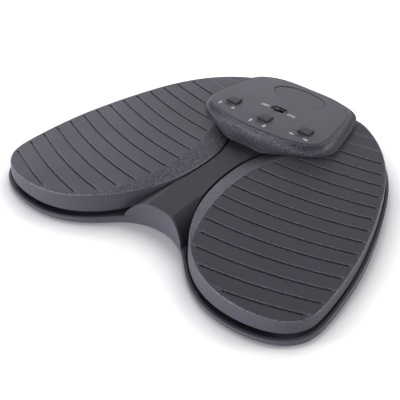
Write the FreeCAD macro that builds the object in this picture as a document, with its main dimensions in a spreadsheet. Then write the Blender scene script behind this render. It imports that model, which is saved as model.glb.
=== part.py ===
import FreeCAD, Part
import math
import os
from FreeCAD import Placement, Rotation, Vector

# Two-pedal foot switch: two wide treadles on a low tray, a middle spine between
# them and a raised control console at the rear.
# Frame: X to the right, Y to the rear (the console's end), Z up, origin on the
# floor under the middle of the object. All sizes are millimetres.

os.makedirs("parts", exist_ok=True)
doc = FreeCAD.newDocument("FootPedalSwitch")

# Driving dimensions: alias, value, what it is
SIZES = [
    ("pedal_half_span", 132.0, "from the middle to the outer top edge of a pedal"),
    ("pedal_front", 108.6, "from the middle to the front top edge of a pedal"),
    ("pedal_rear", 101.0, "from the middle to the rear top edge of a pedal"),
    ("pedal_top", 22.7, "height of the tread at its reference line"),
    ("tread_line", 75.0, "distance of that reference line from the middle"),
    ("tread_slope", 3.6, "fall of the tread towards its outer side, degrees"),
    ("pedal_edge", 10.0, "height of the lower edge of the pedal's side wall"),
    ("pedal_wall", 2.4, "thickness of the pedal's side wall"),
    ("pedal_roof", 2.6, "thickness of the tread plate"),
    ("pedal_draft", 0.8, "how far the side wall leans out down to its lower edge"),
    ("pedal_round", 1.4, "radius of the tread's edge"),
    ("band_radius", 114.0, "radius of the flat tread's inner boundary"),
    ("band_slope", 18.0, "fall of the smooth inner band, degrees"),
    ("groove_count", 17, "grooves across one tread"),
    ("groove_pitch", 13.05, "spacing of the grooves from front to rear"),
    ("groove_radius", 320.0, "radius of a groove's curve"),
    ("groove_width", 1.5, "width of a groove"),
    ("groove_depth", 0.8, "depth of a groove"),
    ("foot_height", 1.0, "height of the rubber feet below the tray"),
    ("foot_radius", 7.0, "radius of a rubber foot"),
    ("foot_seat", 1.0, "depth of the recess that a foot sits in"),
    ("floor_thickness", 2.5, "thickness of the tray's floor"),
    ("rim_wall", 1.8, "thickness of the tray's rim"),
    ("rim_gap", 0.7, "clearance between a pedal's wall and the rim"),
    ("rim_front", 5.2, "height of the rim's top at the front"),
    ("rim_rear", 11.2, "height of the rim's top at the rear"),
    ("rim_foot", 0.7, "how far the rim's bottom edge is drawn in"),
    ("spine_top", 21.2, "height of the middle spine"),
    ("spine_plate", 2.0, "thickness of the spine's top plate"),
    ("cover_gap", 1.3, "gap between a pedal and the middle cover"),
    ("cover_wall", 2.0, "wall thickness of the middle cover"),
    ("console_height", 35.6, "height of the console's top at its front edge"),
    ("console_slope", 4.8, "fall of the console's top towards the rear, degrees"),
    ("console_round", 1.6, "radius of the console's top edge"),
    ("lip_under", 25.6, "height of the underside of the console's lip"),
    ("lip_thickness", 1.2, "thickness of the console's lip"),
    ("hinge_rear", 82.0, "distance of the hinge axis behind the middle"),
    ("hinge_height", 8.6, "height of the hinge axis"),
    ("hinge_inner", 38.0, "inner end of a hinge pin"),
    ("hinge_length", 34.0, "length of a hinge pin"),
    ("hinge_pin_radius", 1.5, "radius of a hinge pin"),
    ("pin_clearance", 0.05, "radial clearance round a hinge pin"),
    ("pedal_travel", 1.0, "turn of a pedal from rest to fully pressed, degrees"),
    ("deck_height", 24.4, "height of the pedals' hidden deck under the lip"),
    ("board_thickness", 1.2, "thickness of the circuit board"),
    ("button_spread", 33.0, "from the middle to the left and right buttons"),
    ("button_width", 9.6, "width of a push button"),
    ("button_depth", 7.2, "depth of a push button"),
    ("button_rise", 1.7, "height of a push button above the console"),
    ("button_gap", 0.5, "clearance round a push button"),
    ("button_row", 46.0, "distance of the middle button behind the middle"),
    ("button_setback", 5.2, "how much farther back the outer buttons are"),
    ("window_ahead", 8.2, "from a button to its light window in front of it"),
    ("window_width", 5.0, "width of a light window"),
    ("window_depth", 2.6, "depth of a light window"),
    ("power_row", 64.2, "distance of the power slide behind the middle"),
    ("power_travel", 4.0, "travel of the power slide"),
    ("badge_row", 92.5, "distance of the oval recess behind the middle"),
    ("badge_width", 46.0, "width of the oval recess"),
    ("badge_depth", 23.0, "depth of the oval recess from front to rear"),
    ("cell_radius", 7.1, "radius of a battery cell"),
    ("cell_length", 50.0, "length of a battery cell"),
    ("cell_front", 46.5, "distance of the cells' front end behind the middle"),
    ("door_thickness", 1.8, "thickness of the battery door"),
    ("door_gap", 0.4, "clearance round the battery door"),
    ("door_travel", 8.0, "how far the battery door slides"),
]

sheet = doc.addObject("Spreadsheet::Sheet", "Dims")
for row, (alias, value, meaning) in enumerate(SIZES, start=1):
    sheet.set(f"A{row}", alias)
    sheet.set(f"B{row}", str(value))
    sheet.set(f"C{row}", meaning)
    sheet.setAlias(f"B{row}", alias)
doc.recompute()


class Sizes:
    """The sheet's values by name, for places that a formula works out."""

    def __getattr__(self, name):
        return float(sheet.get(name))


S = Sizes()

# Shape of the right pedal's top edge as shares of its reach: sideways reach is
# pedal_half_span, forward reach pedal_front, rearward reach pedal_rear.
INNER_RIM = [
    (0.241, -0.728), (0.182, -0.610), (0.131, -0.468), (0.097, -0.305), (0.083, -0.075),
    (0.098, 0.119), (0.152, 0.297), (0.196, 0.495), (0.218, 0.743), (0.268, 0.950),
]
OUTER_RIM = [
    (0.356, 1.000), (0.470, 0.950), (0.606, 0.812), (0.735, 0.589), (0.833, 0.312),
    (0.909, 0.020), (0.962, -0.239), (0.991, -0.488), (1.000, -0.672), (0.985, -0.810),
    (0.924, -0.908), (0.818, -0.972), (0.682, -0.999), (0.552, -0.987), (0.434, -0.936),
    (0.328, -0.847),
]


def reach(share):
    """Turn a share of the pedal's reach into a point."""
    depth = S.pedal_front if share[1] < 0 else S.pedal_rear
    return Vector(share[0] * S.pedal_half_span, share[1] * depth, 0)


def mirrored(points):
    return [Vector(-p.x, p.y, p.z) for p in points]


def closed_spline(points):
    curve = Part.BSplineCurve()
    curve.interpolate(points, PeriodicFlag=True)
    return curve


def open_spline(points):
    curve = Part.BSplineCurve()
    curve.interpolate(points)
    return curve


def grown(points, distance, closed=True):
    """The same outline moved out (or in, when negative) square to its curve.

    The outline runs clockwise seen from above, so its outer side is on the left.
    """
    curve = closed_spline(points) if closed else open_spline(points)
    moved = []
    for point in points:
        along = curve.tangent(curve.parameter(point))[0]
        moved.append(point + Vector(-along.y, along.x, 0) * distance)
    return moved


PEDAL = [reach(share) for share in INNER_RIM + OUTER_RIM]


def pedal_outline(distance=0.0):
    return grown(PEDAL, distance)


def tread_height(x):
    """Height of the flat tread at a distance x from the middle."""
    return S.pedal_top + (S.tread_line - abs(x)) * math.tan(math.radians(S.tread_slope))


def console_top(y):
    """Height of the console's top plane at a distance y behind the middle."""
    return S.console_height - (y - CONSOLE_FRONT) * math.tan(math.radians(S.console_slope))


# The rim of the tray follows the pedals' outer edge, dips into a notch at the front
# and closes round the back of the console.
RIM_REACH = S.pedal_draft + S.rim_gap + S.rim_wall
NOTCH_APEX = -72.4
REAR_END = S.pedal_front + RIM_REACH
NOTCH = [
    Vector(0, NOTCH_APEX, 0),
    Vector(9.0, NOTCH_APEX - 0.9, 0),
    Vector(17.0, NOTCH_APEX - 3.6, 0),
    Vector(24.0, NOTCH_APEX - 7.4, 0),
    Vector(30.4, NOTCH_APEX - 12.4, 0),
]
ARCH_FOOT = 26.5
ARCH_SHOULDER = 11.0
ARCH_MIDDLE = Vector(19.6, 17.0, 0)
ARCH_TOE = S.rim_front + 2.0
ARCH_REACH = 48.0
REAR_OF_CONSOLE = [Vector(42.0, REAR_END - 4.2, 0), Vector(28.0, REAR_END - 0.6, 0)]


def tray_outline(distance=0.0):
    """Outer face of the tray's rim, clockwise from the notch's apex."""
    sides = pedal_outline(RIM_REACH)
    outer = sides[len(INNER_RIM) + 1:]
    outer.reverse()
    right = NOTCH[1:] + outer + REAR_OF_CONSOLE
    left = mirrored(right)
    left.reverse()
    ring = [NOTCH[0]] + right + [Vector(0, REAR_END, 0)] + left
    ring.reverse()
    return grown(ring, distance)


# Console outlines, right half from front to rear
CONSOLE_FRONT = 28.6
CONSOLE_EDGE = [
    (0, 28.6), (16, 29.0), (30, 31.6), (42, 36.0), (49.6, 43.0), (51.3, 52.0),
    (49.6, 64.0), (46.6, 78.0), (42.6, 92.0), (37.0, 101.0), (27.0, 106.6), (0, 108.8),
]
CONSOLE_LIP = [
    (0, 20.5), (13, 18.0), (28.6, 25.0), (41, 32.4), (53, 40.5), (58.4, 50.0),
    (57.4, 62.0), (54.8, 76.0), (51.4, 91.0), (45.4, 102.0), (32.0, 108.6), (0, 110.8),
]


def console_outline(half, distance=0.0):
    """A closed outline from its right half, moved out by a distance."""
    right = [Vector(x, y, 0) for x, y in half]
    left = mirrored(right[1:-1])
    left.reverse()
    ring = right + left
    ring.reverse()
    return grown(ring, distance)


def between(first, second, share):
    return [a + (b - a) * share for a, b in zip(first, second)]


def origin_plane(body, role):
    return next(item for item in body.Origin.OriginFeatures if item.Role == role)


def add_sketch(body, name, role="XY_Plane", offset=None, turn=None):
    """A sketch on one of the body's origin planes, at a height given by a formula."""
    sketch = body.newObject("Sketcher::SketchObject", name)
    sketch.AttachmentSupport = [(origin_plane(body, role), "")]
    sketch.MapMode = "FlatFace"
    if turn is not None:
        sketch.AttachmentOffset = Placement(Vector(0, 0, 0), turn)
    if offset is not None:
        sketch.setExpression("AttachmentOffset.Base.z", str(offset))
    return sketch


def draw_spline(sketch, points):
    sketch.addGeometry(closed_spline([Vector(p.x, p.y, 0) for p in points]), False)


def draw_loop(sketch, corners):
    """A closed loop of straight lines."""
    points = [Vector(x, y, 0) for x, y in corners]
    for start, end in zip(points, points[1:] + points[:1]):
        sketch.addGeometry(Part.LineSegment(start, end), False)


def draw_box(sketch, x_mid, y_mid, width, depth):
    half_w = width / 2
    half_d = depth / 2
    draw_loop(sketch, [
        (x_mid - half_w, y_mid - half_d), (x_mid + half_w, y_mid - half_d),
        (x_mid + half_w, y_mid + half_d), (x_mid - half_w, y_mid + half_d),
    ])


def draw_circle(sketch, x, y, radius):
    sketch.addGeometry(Part.Circle(Vector(x, y, 0), Vector(0, 0, 1), radius), False)


def draw_capsule(sketch, x, y, length, width):
    """A slot with round ends, its length along the sketch's first axis."""
    radius = width / 2
    run = length / 2 - radius
    up = Vector(0, radius, 0)
    for side in (-1, 1):
        centre = Vector(x + side * run, y, 0)
        tip = Vector(x + side * (run + radius), y, 0)
        sketch.addGeometry(Part.Arc(centre - up, tip, centre + up), False)
        level = Vector(0, side * radius, 0)
        start = Vector(x - run, y, 0) + level
        end = Vector(x + run, y, 0) + level
        sketch.addGeometry(Part.LineSegment(start, end), False)


def add_pad(body, name, sketch, length, reverse=False):
    pad = body.newObject("PartDesign::Pad", name)
    pad.Profile = sketch
    pad.Reversed = reverse
    pad.Refine = False
    pad.setExpression("Length", str(length))
    return pad


def add_pocket(body, name, sketch, length, reverse=False):
    """A cut down from its sketch, or up from it when reversed."""
    pocket = body.newObject("PartDesign::Pocket", name)
    pocket.Profile = sketch
    pocket.Reversed = reverse
    pocket.Refine = False
    pocket.setExpression("Length", str(length))
    return pocket


def add_loft(body, name, sketches, ruled=False):
    loft = body.newObject("PartDesign::AdditiveLoft", name)
    loft.Profile = sketches[0]
    loft.Sections = sketches[1:]
    loft.Ruled = ruled
    loft.Refine = False
    return loft


def edges_of(shape, wanted):
    return [f"Edge{i}" for i, edge in enumerate(shape.Edges, start=1) if wanted(edge)]


def new_body(name):
    body = doc.addObject("PartDesign::Body", name)
    body.Label = name
    return body


NODES = []


def keep(item):
    """List a finished sub-part under the name of its file."""
    NODES.append(item)
    return item


def place(item, x=None, y=None, z=None):
    """Bind a sub-part's position to formulas of the sheet."""
    for axis, formula in (("x", x), ("y", y), ("z", z)):
        if formula is not None:
            item.setExpression(f"Placement.Base.{axis}", str(formula))


# Groove ends on the right pedal, worked out from the flat tread's boundaries
GROOVE_FIRST = -106.0
GROOVE_MIDDLE = 77.0
GROOVE_RISE = 26.0
GROOVE_SPAN = 94.0


def groove_arcs():
    """The centre arcs of the grooves, cut to the flat part of the tread.

    Every groove is the same large arc, moved back by one pitch, and cut by the
    inner edge of the flat tread and by a margin at the pedal's outer edge.
    """
    rim = Part.Face(Part.Wire([closed_spline(pedal_outline(-S.groove_width - 1.6)).toShape()]))
    disc_edge = Part.Circle(band_centre(), Vector(0, 0, 1), S.band_radius - 0.75 * S.groove_width)
    disc = Part.Face(Part.Wire([disc_edge.toShape()]))
    console = Part.Face(Part.Wire([closed_spline(console_outline(CONSOLE_LIP, 1.6)).toShape()]))
    field = rim.common(disc).cut(console)
    arcs = []
    tilt = math.atan2(GROOVE_RISE, GROOVE_SPAN)
    for index in range(int(S.groove_count)):
        middle = Vector(GROOVE_MIDDLE, GROOVE_FIRST + index * S.groove_pitch, 0)
        centre = middle + Vector(-math.sin(tilt), math.cos(tilt), 0) * S.groove_radius
        circle = Part.Circle(centre, Vector(0, 0, 1), S.groove_radius)
        low = 1.5 * math.pi + tilt - 0.32
        arc = circle.toShape(low, low + 0.64).common(field)
        longest = max(arc.Edges, key=lambda edge: edge.Length, default=None)
        if longest is not None and longest.Length > 4 * S.groove_width:
            start = longest.valueAt(longest.FirstParameter) - centre
            end = longest.valueAt(longest.LastParameter) - centre
            arcs.append((centre, math.atan2(start.y, start.x), math.atan2(end.y, end.x)))
    return arcs


def band_centre():
    """The flat tread's inner boundary is an arc round this point."""
    return Vector(0.18 * S.pedal_half_span + S.band_radius, -0.2 * S.pedal_front, 0)


def draw_curved_slot(sketch, centre, first, last, radius, width, side):
    """A slot of even width along an arc, with round ends."""
    if last < first:
        first, last = last, first

    def at(angle, distance):
        spot = centre + Vector(math.cos(angle), math.sin(angle), 0) * distance
        return Vector(side * spot.x, spot.y, 0)

    half = width / 2
    middle = (first + last) / 2
    for distance in (radius - half, radius + half):
        arc = Part.Arc(at(first, distance), at(middle, distance), at(last, distance))
        sketch.addGeometry(arc, False)
    for angle, outward in ((first, -1), (last, 1)):
        tip = at(angle + outward * half / radius, radius)
        sketch.addGeometry(Part.Arc(at(angle, radius - half), tip, at(angle, radius + half)), False)


def tread_turn(side):
    """The tilt of a pedal's tread about the Y axis."""
    return Rotation(Vector(0, 1, 0), side * S.tread_slope)


FLOOR_TOP = "Dims.foot_height + Dims.floor_thickness"
TREAD_RISE = "Dims.tread_line * tan(Dims.tread_slope * 1 deg)"
floor_top = S.foot_height + S.floor_thickness
FAR_FRONT = -S.pedal_front - 30.0
WIDE = S.pedal_half_span + 30.0
LUG_THICKNESS = 4.0
LUG_SPOTS = (S.hinge_inner + 6.5, S.hinge_inner + 23.5)
SADDLE_THICKNESS = 3.0
SADDLE_SPOTS = (S.hinge_inner + 1.6, S.hinge_inner + S.hinge_length - 4.6)
SPRING_SPOT = (70.0, -30.0)
SWITCH_SPOT = (50.0, -10.0)
STOP_SPOT = (92.0, -84.0)
PAD_THICKNESS = 1.6
SPRING_RADIUS = 4.2
SPRING_WIRE = 0.55
CUP_UNDER = 14.0
PLUNGER_TOP = 11.6
POST_CLEARANCE = 0.3


def drop_at(y):
    """How far a fully pressed pedal goes down at a distance y behind the middle."""
    return (S.hinge_rear - y) * math.sin(math.radians(S.pedal_travel))


def on_side(points, side):
    return [Vector(side * p.x, p.y, 0) for p in points]


BAND_END = 6


def hollow_outline():
    """Inner face of the pedal's wall, held off the sloping band by its width."""
    inset = []
    outline = PEDAL
    rim_inset = S.pedal_wall + 0.6
    band_inset = 14.0 + S.pedal_wall
    curve = closed_spline(outline)
    for index, point in enumerate(outline):
        distance = band_inset if index <= BAND_END else rim_inset
        along = curve.tangent(curve.parameter(point))[0]
        inset.append(point + Vector(along.y, -along.x, 0) * distance)
    return inset


def chord(outline, start, end, overlap):
    """The stretch of a straight line inside an outline, lengthened at both ends."""
    face = Part.Face(Part.Wire([closed_spline(outline).toShape()]))
    inside = Part.LineSegment(start, end).toShape().common(face)
    longest = max(inside.Edges, key=lambda edge: edge.Length)
    along = (end - start).normalize()
    spots = [vertex.Point for vertex in longest.Vertexes]
    spots.sort(key=lambda spot: spot.dot(along))
    return spots[0] - along * overlap, spots[-1] + along * overlap


def draw_strip(sketch, start, end, width, side):
    """A thin rectangle round a line."""
    along = (end - start).normalize()
    across = Vector(-along.y, along.x, 0) * (width / 2)
    corners = [start - across, end - across, end + across, start + across]
    draw_loop(sketch, [(side * corner.x, corner.y) for corner in corners])


def tilted_sketch(body, name, side, drop):
    """A sketch parallel to a tread, a formula's distance below it."""
    sketch = add_sketch(body, name, turn=tread_turn(side))
    height = f"Dims.pedal_top + {TREAD_RISE} - ({drop})"
    sketch.setExpression("AttachmentOffset.Base.z", height)
    return sketch


def build_pedal(side, name):
    """One treadle: a ribbed shell with a grooved, sloping tread."""
    body = new_body(name)
    low = add_sketch(body, name + "_low_edge", offset="Dims.pedal_edge")
    draw_spline(low, on_side(pedal_outline(S.pedal_draft), side))
    high = add_sketch(body, name + "_high_edge", offset="Dims.pedal_top + 8")
    draw_spline(high, on_side(pedal_outline(-0.3), side))
    add_loft(body, name + "_wall", [low, high], ruled=True)

    above = tilted_sketch(body, name + "_above", side, 0)
    draw_box(above, side * WIDE / 2, 0, WIDE + 20, 2 * WIDE)
    add_pocket(body, name + "_tread", above, 30, reverse=True)

    band = add_sketch(body, name + "_band_profile", role="XZ_Plane")
    middle = band_centre()
    band.AttachmentOffset = Placement(
        Vector(side * middle.x, 0, -middle.y), Rotation(Vector(0, 1, 0), -28.0 * side))
    rise = tread_height(middle.x - S.band_radius)
    run = 45.0
    fall = run * math.tan(math.radians(S.band_slope))
    draw_loop(band, [
        (-side * S.band_radius, rise), (-side * (S.band_radius + run), rise - fall),
        (-side * (S.band_radius + run), rise + 12), (-side * S.band_radius, rise + 12),
    ])
    groove = body.newObject("PartDesign::Groove", name + "_band")
    groove.Profile = band
    groove.ReferenceAxis = (band, ["V_Axis"])
    groove.Angle = 100.0
    groove.Reversed = side < 0
    groove.Refine = False
    doc.recompute()

    lowest = S.pedal_edge + 5
    walls = [face for face in groove.Shape.Faces if face.BoundBox.ZMin < lowest - 4.9
             and face.BoundBox.ZMax > lowest]
    rim_edges = [edge for wall in walls for edge in wall.Edges
                 if edge.BoundBox.ZMin > lowest and edge.Length > 4]
    names = edges_of(groove.Shape, lambda edge: any(edge.isSame(item) for item in rim_edges))
    rounding = body.newObject("PartDesign::Fillet", name + "_edge")
    rounding.Base = (groove, names)
    rounding.setExpression("Radius", "Dims.pedal_round")

    roof = tilted_sketch(body, name + "_roof", side, "Dims.pedal_roof")
    draw_spline(roof, on_side(hollow_outline(), side))
    add_pocket(body, name + "_hollow", roof, 40)
    shelf = add_sketch(body, name + "_shelf", offset="Dims.pedal_edge + 6.5")
    draw_spline(shelf, on_side(pedal_outline(-S.pedal_wall - 0.6), side))
    add_pocket(body, name + "_side_hollow", shelf, 20)

    deck = add_sketch(body, name + "_deck", offset="Dims.deck_height")
    draw_spline(deck, console_outline(CONSOLE_LIP, -2.0))
    add_pocket(body, name + "_deck_cut", deck, 20, reverse=True)

    ribs = tilted_sketch(body, name + "_rib_lines", side, "Dims.pedal_roof - 0.4")
    rib_lines = [
        (Vector(58, -120, 0), Vector(58, 120, 0)), (Vector(84, -120, 0), Vector(84, 120, 0)),
        (Vector(106, -120, 0), Vector(106, 120, 0)),
    ]
    for start, end in rib_lines:
        first, last = chord(hollow_outline(), start, end, S.pedal_wall / 2)
        draw_strip(ribs, first, last, 1.6, side)
    add_pad(body, name + "_ribs", ribs, 4.4, reverse=True)

    posts = tilted_sketch(body, name + "_posts", side, "Dims.pedal_roof - 0.4")
    draw_circle(posts, side * STOP_SPOT[0], STOP_SPOT[1], 4.0)
    draw_circle(posts, side * SWITCH_SPOT[0], SWITCH_SPOT[1], 3.0)
    draw_circle(posts, side * SPRING_SPOT[0], SPRING_SPOT[1], SPRING_RADIUS + 2.4)
    add_pad(body, name + "_post_pads", posts, 16, reverse=True)
    ends = (
        ("stop_end", STOP_SPOT, 6.0, STOP_UNDER),
        ("switch_end", SWITCH_SPOT, 5.0, PLUNGER_TOP + POST_CLEARANCE),
        ("spring_end", SPRING_SPOT, SPRING_RADIUS + 4.4, CUP_UNDER - 1.2),
    )
    for part_name, spot, radius, level in ends:
        trim = add_sketch(body, name + "_" + part_name, offset=level)
        draw_circle(trim, side * spot[0], spot[1], radius)
        add_pocket(body, name + "_" + part_name + "_cut", trim, 14)
    cup = add_sketch(body, name + "_cup", offset=CUP_UNDER)
    draw_circle(cup, side * SPRING_SPOT[0], SPRING_SPOT[1], SPRING_RADIUS + 1.0)
    add_pocket(body, name + "_spring_cup", cup, 6)

    for index, spot in enumerate(LUG_SPOTS, start=1):
        start = spot if side > 0 else -spot - LUG_THICKNESS
        lug = add_sketch(body, f"{name}_lug_{index}", role="YZ_Plane", offset=start)
        top = tread_height(spot + LUG_THICKNESS) - S.pedal_roof + 0.9
        draw_lug(lug, S.hinge_rear, S.hinge_height, 3.6, top)
        add_pad(body, f"{name}_lug_pad_{index}", lug, LUG_THICKNESS)
    bore = add_sketch(body, name + "_bore", role="YZ_Plane", offset=side * S.hinge_inner)
    draw_circle(bore, S.hinge_rear, S.hinge_height, S.hinge_pin_radius + S.pin_clearance)
    add_pocket(body, name + "_hinge_bore", bore, "Dims.hinge_length", reverse=side > 0)

    lines = tilted_sketch(body, name + "_groove_lines", side, 0)
    for centre, first, last in GROOVES:
        draw_curved_slot(lines, centre, first, last, S.groove_radius, S.groove_width, side)
    add_pocket(body, name + "_grooves", lines, "Dims.groove_depth")
    return keep(body)


def draw_lug(sketch, y, z, radius, top):
    """A hanging lug: round below its bore, straight sides above."""
    left = Vector(y - radius, z, 0)
    right = Vector(y + radius, z, 0)
    sketch.addGeometry(Part.Arc(left, Vector(y, z - radius, 0), right), False)
    sketch.addGeometry(Part.LineSegment(right, Vector(y + radius, top, 0)), False)
    sketch.addGeometry(Part.LineSegment(Vector(y + radius, top, 0), Vector(y - radius, top, 0)), False)
    sketch.addGeometry(Part.LineSegment(Vector(y - radius, top, 0), left), False)


def draw_standing_lug(sketch, y, z, radius, base):
    """A standing bracket: round above its bore, straight sides below."""
    left = Vector(y - radius, z, 0)
    right = Vector(y + radius, z, 0)
    sketch.addGeometry(Part.Arc(left, Vector(y, z + radius, 0), right), False)
    sketch.addGeometry(Part.LineSegment(right, Vector(y + radius, base, 0)), False)
    sketch.addGeometry(Part.LineSegment(Vector(y + radius, base, 0), Vector(y - radius, base, 0)), False)
    sketch.addGeometry(Part.LineSegment(Vector(y - radius, base, 0), left), False)


STOP_UNDER = 12.2
STOP_CLEARANCE = 0.15
STOP_POST = STOP_UNDER - drop_at(STOP_SPOT[1]) - PAD_THICKNESS - STOP_CLEARANCE
JACK_BASE = 12.4
JACK_FRONT = REAR_END - 10.0
JACK_WIDTH = 7.8
JACK_HEIGHT = 4.0
GROOVES = groove_arcs()

CELL_SPREAD = S.cell_radius + 0.3
CELL_HEIGHT = S.foot_height + S.door_thickness + 0.4 + S.cell_radius
DOOR_WIDTH = 2 * (CELL_SPREAD + S.cell_radius) + 5.2
DOOR_LENGTH = S.cell_length + 7.0
DOOR_MIDDLE = S.cell_front + S.cell_length / 2
LEDGE = 1.8
BOX_WALL = 1.4
BOX_TOP = CELL_HEIGHT + S.cell_radius + 0.5
HOOK_LENGTH = 6.0
HOOK_SPOTS = (DOOR_MIDDLE - 14.0, DOOR_MIDDLE + 16.0)
FOOT_SPOTS = [(20.0, -60.0), (92.0, -92.0), (118.0, -30.0), (88.0, 55.0), (26.0, 99.0)]
SCREW_SPOTS = [(0, -50.0), (0, 24.0), (12.0, 105.0)]
SCREW_BOSS = 3.2
SCREW_CORE = 1.3
SCREW_HEAD = 2.6
SCREW_SINK = 1.2


def build_tray():
    """The lower shell: floor, rim, notch wall, brackets and the battery box."""
    body = new_body("base_tray")
    levels = [
        ("tray_foot", tray_outline(-S.rim_foot), "Dims.foot_height"),
        ("tray_turn", tray_outline(), "Dims.foot_height + 2 * Dims.rim_foot"),
        ("tray_head", tray_outline(), "Dims.spine_top"),
    ]
    sections = []
    for name, outline, height in levels:
        sketch = add_sketch(body, name, offset=height)
        draw_spline(sketch, outline)
        sections.append(sketch)
    add_loft(body, "tray_shell", sections, ruled=True)
    inside = add_sketch(body, "tray_inside", offset="Dims.spine_top")
    draw_spline(inside, tray_outline(-S.rim_wall))
    depth = f"Dims.spine_top - ({FLOOR_TOP})"
    add_pocket(body, "tray_hollow", inside, depth)

    slope = (S.rim_rear - S.rim_front) / (S.pedal_front - 8.0)
    edge = ARCH_FOOT - 1.0
    for side in (-1, 1):
        profile = add_sketch(body, f"rim_profile_{side + 1}", role="YZ_Plane", offset=side * edge)
        draw_loop(profile, [
            (FAR_FRONT, S.rim_front - slope * 20), (-8.0, S.rim_rear), (WIDE, S.rim_rear),
            (WIDE, 40), (FAR_FRONT, 40),
        ])
        add_pocket(body, f"rim_slope_{side + 1}", profile, WIDE, reverse=side > 0)
    rear = add_sketch(body, "rear_profile", role="YZ_Plane", offset=-edge - 1)
    draw_loop(rear, [(0, S.rim_rear), (WIDE, S.rim_rear), (WIDE, 40), (0, 40)])
    add_pocket(body, "rear_rim", rear, 2 * edge + 2, reverse=True)
    arch = add_sketch(body, "arch_profile", role="XZ_Plane", offset=-NOTCH_APEX - 6)
    draw_arch(arch)
    add_pocket(body, "notch_arch", arch, 60, reverse=True)

    door = add_sketch(body, "door_opening", offset="Dims.foot_height")
    draw_box(door, 0, DOOR_MIDDLE, DOOR_WIDTH - 2 * LEDGE, DOOR_LENGTH - 2 * LEDGE)
    add_pocket(body, "door_window", door, "Dims.floor_thickness", reverse=True)
    recess = add_sketch(body, "door_recess", offset="Dims.foot_height")
    travel = S.door_travel
    draw_box(recess, 0, DOOR_MIDDLE - travel / 2, DOOR_WIDTH, DOOR_LENGTH + travel)
    add_pocket(body, "door_seat", recess, "Dims.door_thickness", reverse=True)
    gates = add_sketch(body, "hook_gates", offset="Dims.foot_height")
    for x, y in both_sides([(DOOR_WIDTH / 2 - LEDGE, spot - travel) for spot in HOOK_SPOTS]):
        draw_box(gates, x, y, 2 * LEDGE - 0.4, HOOK_LENGTH + 0.8)
    add_pocket(body, "hook_gate_cuts", gates, "Dims.floor_thickness", reverse=True)

    box = add_sketch(body, "battery_box", offset=FLOOR_TOP)
    draw_box(box, 0, DOOR_MIDDLE, DOOR_WIDTH + 2 * BOX_WALL, DOOR_LENGTH)
    draw_box(box, 0, DOOR_MIDDLE, DOOR_WIDTH, DOOR_LENGTH - 2 * BOX_WALL)
    add_pad(body, "battery_walls", box, BOX_TOP - floor_top)
    lid = add_sketch(body, "battery_roof", offset=BOX_TOP)
    draw_box(lid, 0, DOOR_MIDDLE, DOOR_WIDTH + 2 * BOX_WALL, DOOR_LENGTH)
    add_pad(body, "battery_roof_pad", lid, BOX_WALL)
    shelf = add_sketch(body, "jack_shelf", offset=FLOOR_TOP)
    draw_box(shelf, 0, JACK_FRONT + 2.4, 10.0, 3.0)
    add_pad(body, "jack_shelf_pad", shelf, JACK_BASE - floor_top)

    posts = add_sketch(body, "tray_posts", offset=FLOOR_TOP)
    stubs = add_sketch(body, "spring_stubs", offset=FLOOR_TOP)
    seats = add_sketch(body, "switch_seats", offset=FLOOR_TOP)
    for side in (-1, 1):
        draw_circle(posts, side * STOP_SPOT[0], STOP_SPOT[1], 5.0)
        draw_circle(stubs, side * SPRING_SPOT[0], SPRING_SPOT[1], SPRING_RADIUS - SPRING_WIRE - 0.6)
        draw_box(seats, side * SWITCH_SPOT[0], SWITCH_SPOT[1], 16.0, 9.0)
    add_pad(body, "stop_posts", posts, STOP_POST - floor_top)
    add_pad(body, "spring_seats", stubs, 3.0)
    add_pad(body, "switch_platforms", seats, SWITCH_BASE - floor_top)

    for side in (-1, 1):
        for index, spot in enumerate(SADDLE_SPOTS, start=1):
            start = spot if side > 0 else -spot - SADDLE_THICKNESS
            name = f"saddle_{side + 1}_{index}"
            saddle = add_sketch(body, name, role="YZ_Plane", offset=start)
            draw_standing_lug(saddle, S.hinge_rear, S.hinge_height, 3.4, floor_top)
            add_pad(body, name + "_pad", saddle, SADDLE_THICKNESS)
        bore = add_sketch(body, f"saddle_bore_{side + 1}", role="YZ_Plane", offset=side * S.hinge_inner)
        draw_circle(bore, S.hinge_rear, S.hinge_height, S.hinge_pin_radius + S.pin_clearance)
        add_pocket(body, f"saddle_bores_{side + 1}", bore, "Dims.hinge_length", reverse=side > 0)

    ribs = add_sketch(body, "floor_ribs", offset=FLOOR_TOP)
    for side in (-1, 1):
        for start, end in FLOOR_RIBS:
            draw_strip(ribs, start, end, 1.6, side)
    add_pad(body, "floor_rib_pads", ribs, 2.0)

    feet = add_sketch(body, "foot_recesses", offset="Dims.foot_height")
    holes = add_sketch(body, "screw_holes", offset="Dims.foot_height")
    heads = add_sketch(body, "screw_heads", offset="Dims.foot_height")
    for x, y in both_sides(FOOT_SPOTS):
        draw_circle(feet, x, y, S.foot_radius + 0.15)
    for x, y in both_sides(SCREW_SPOTS):
        draw_circle(holes, x, y, 1.7)
        draw_circle(heads, x, y, SCREW_HEAD + 0.2)
    add_pocket(body, "foot_seats", feet, "Dims.foot_seat", reverse=True)
    add_pocket(body, "screw_bores", holes, "Dims.floor_thickness", reverse=True)
    add_pocket(body, "screw_seats", heads, SCREW_SINK, reverse=True)
    return keep(body)


def both_sides(spots):
    """Mirror the spots that are off the middle."""
    return spots + [(-x, y) for x, y in spots if x > 0]


FLOOR_RIBS = [
    (Vector(34, -60, 0), Vector(112, -60, 0)),
    (Vector(34, 20, 0), Vector(108, 20, 0)),
    (Vector(40, 60, 0), Vector(86, 60, 0)),
]
SWITCH_BASE = 5.2


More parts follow.
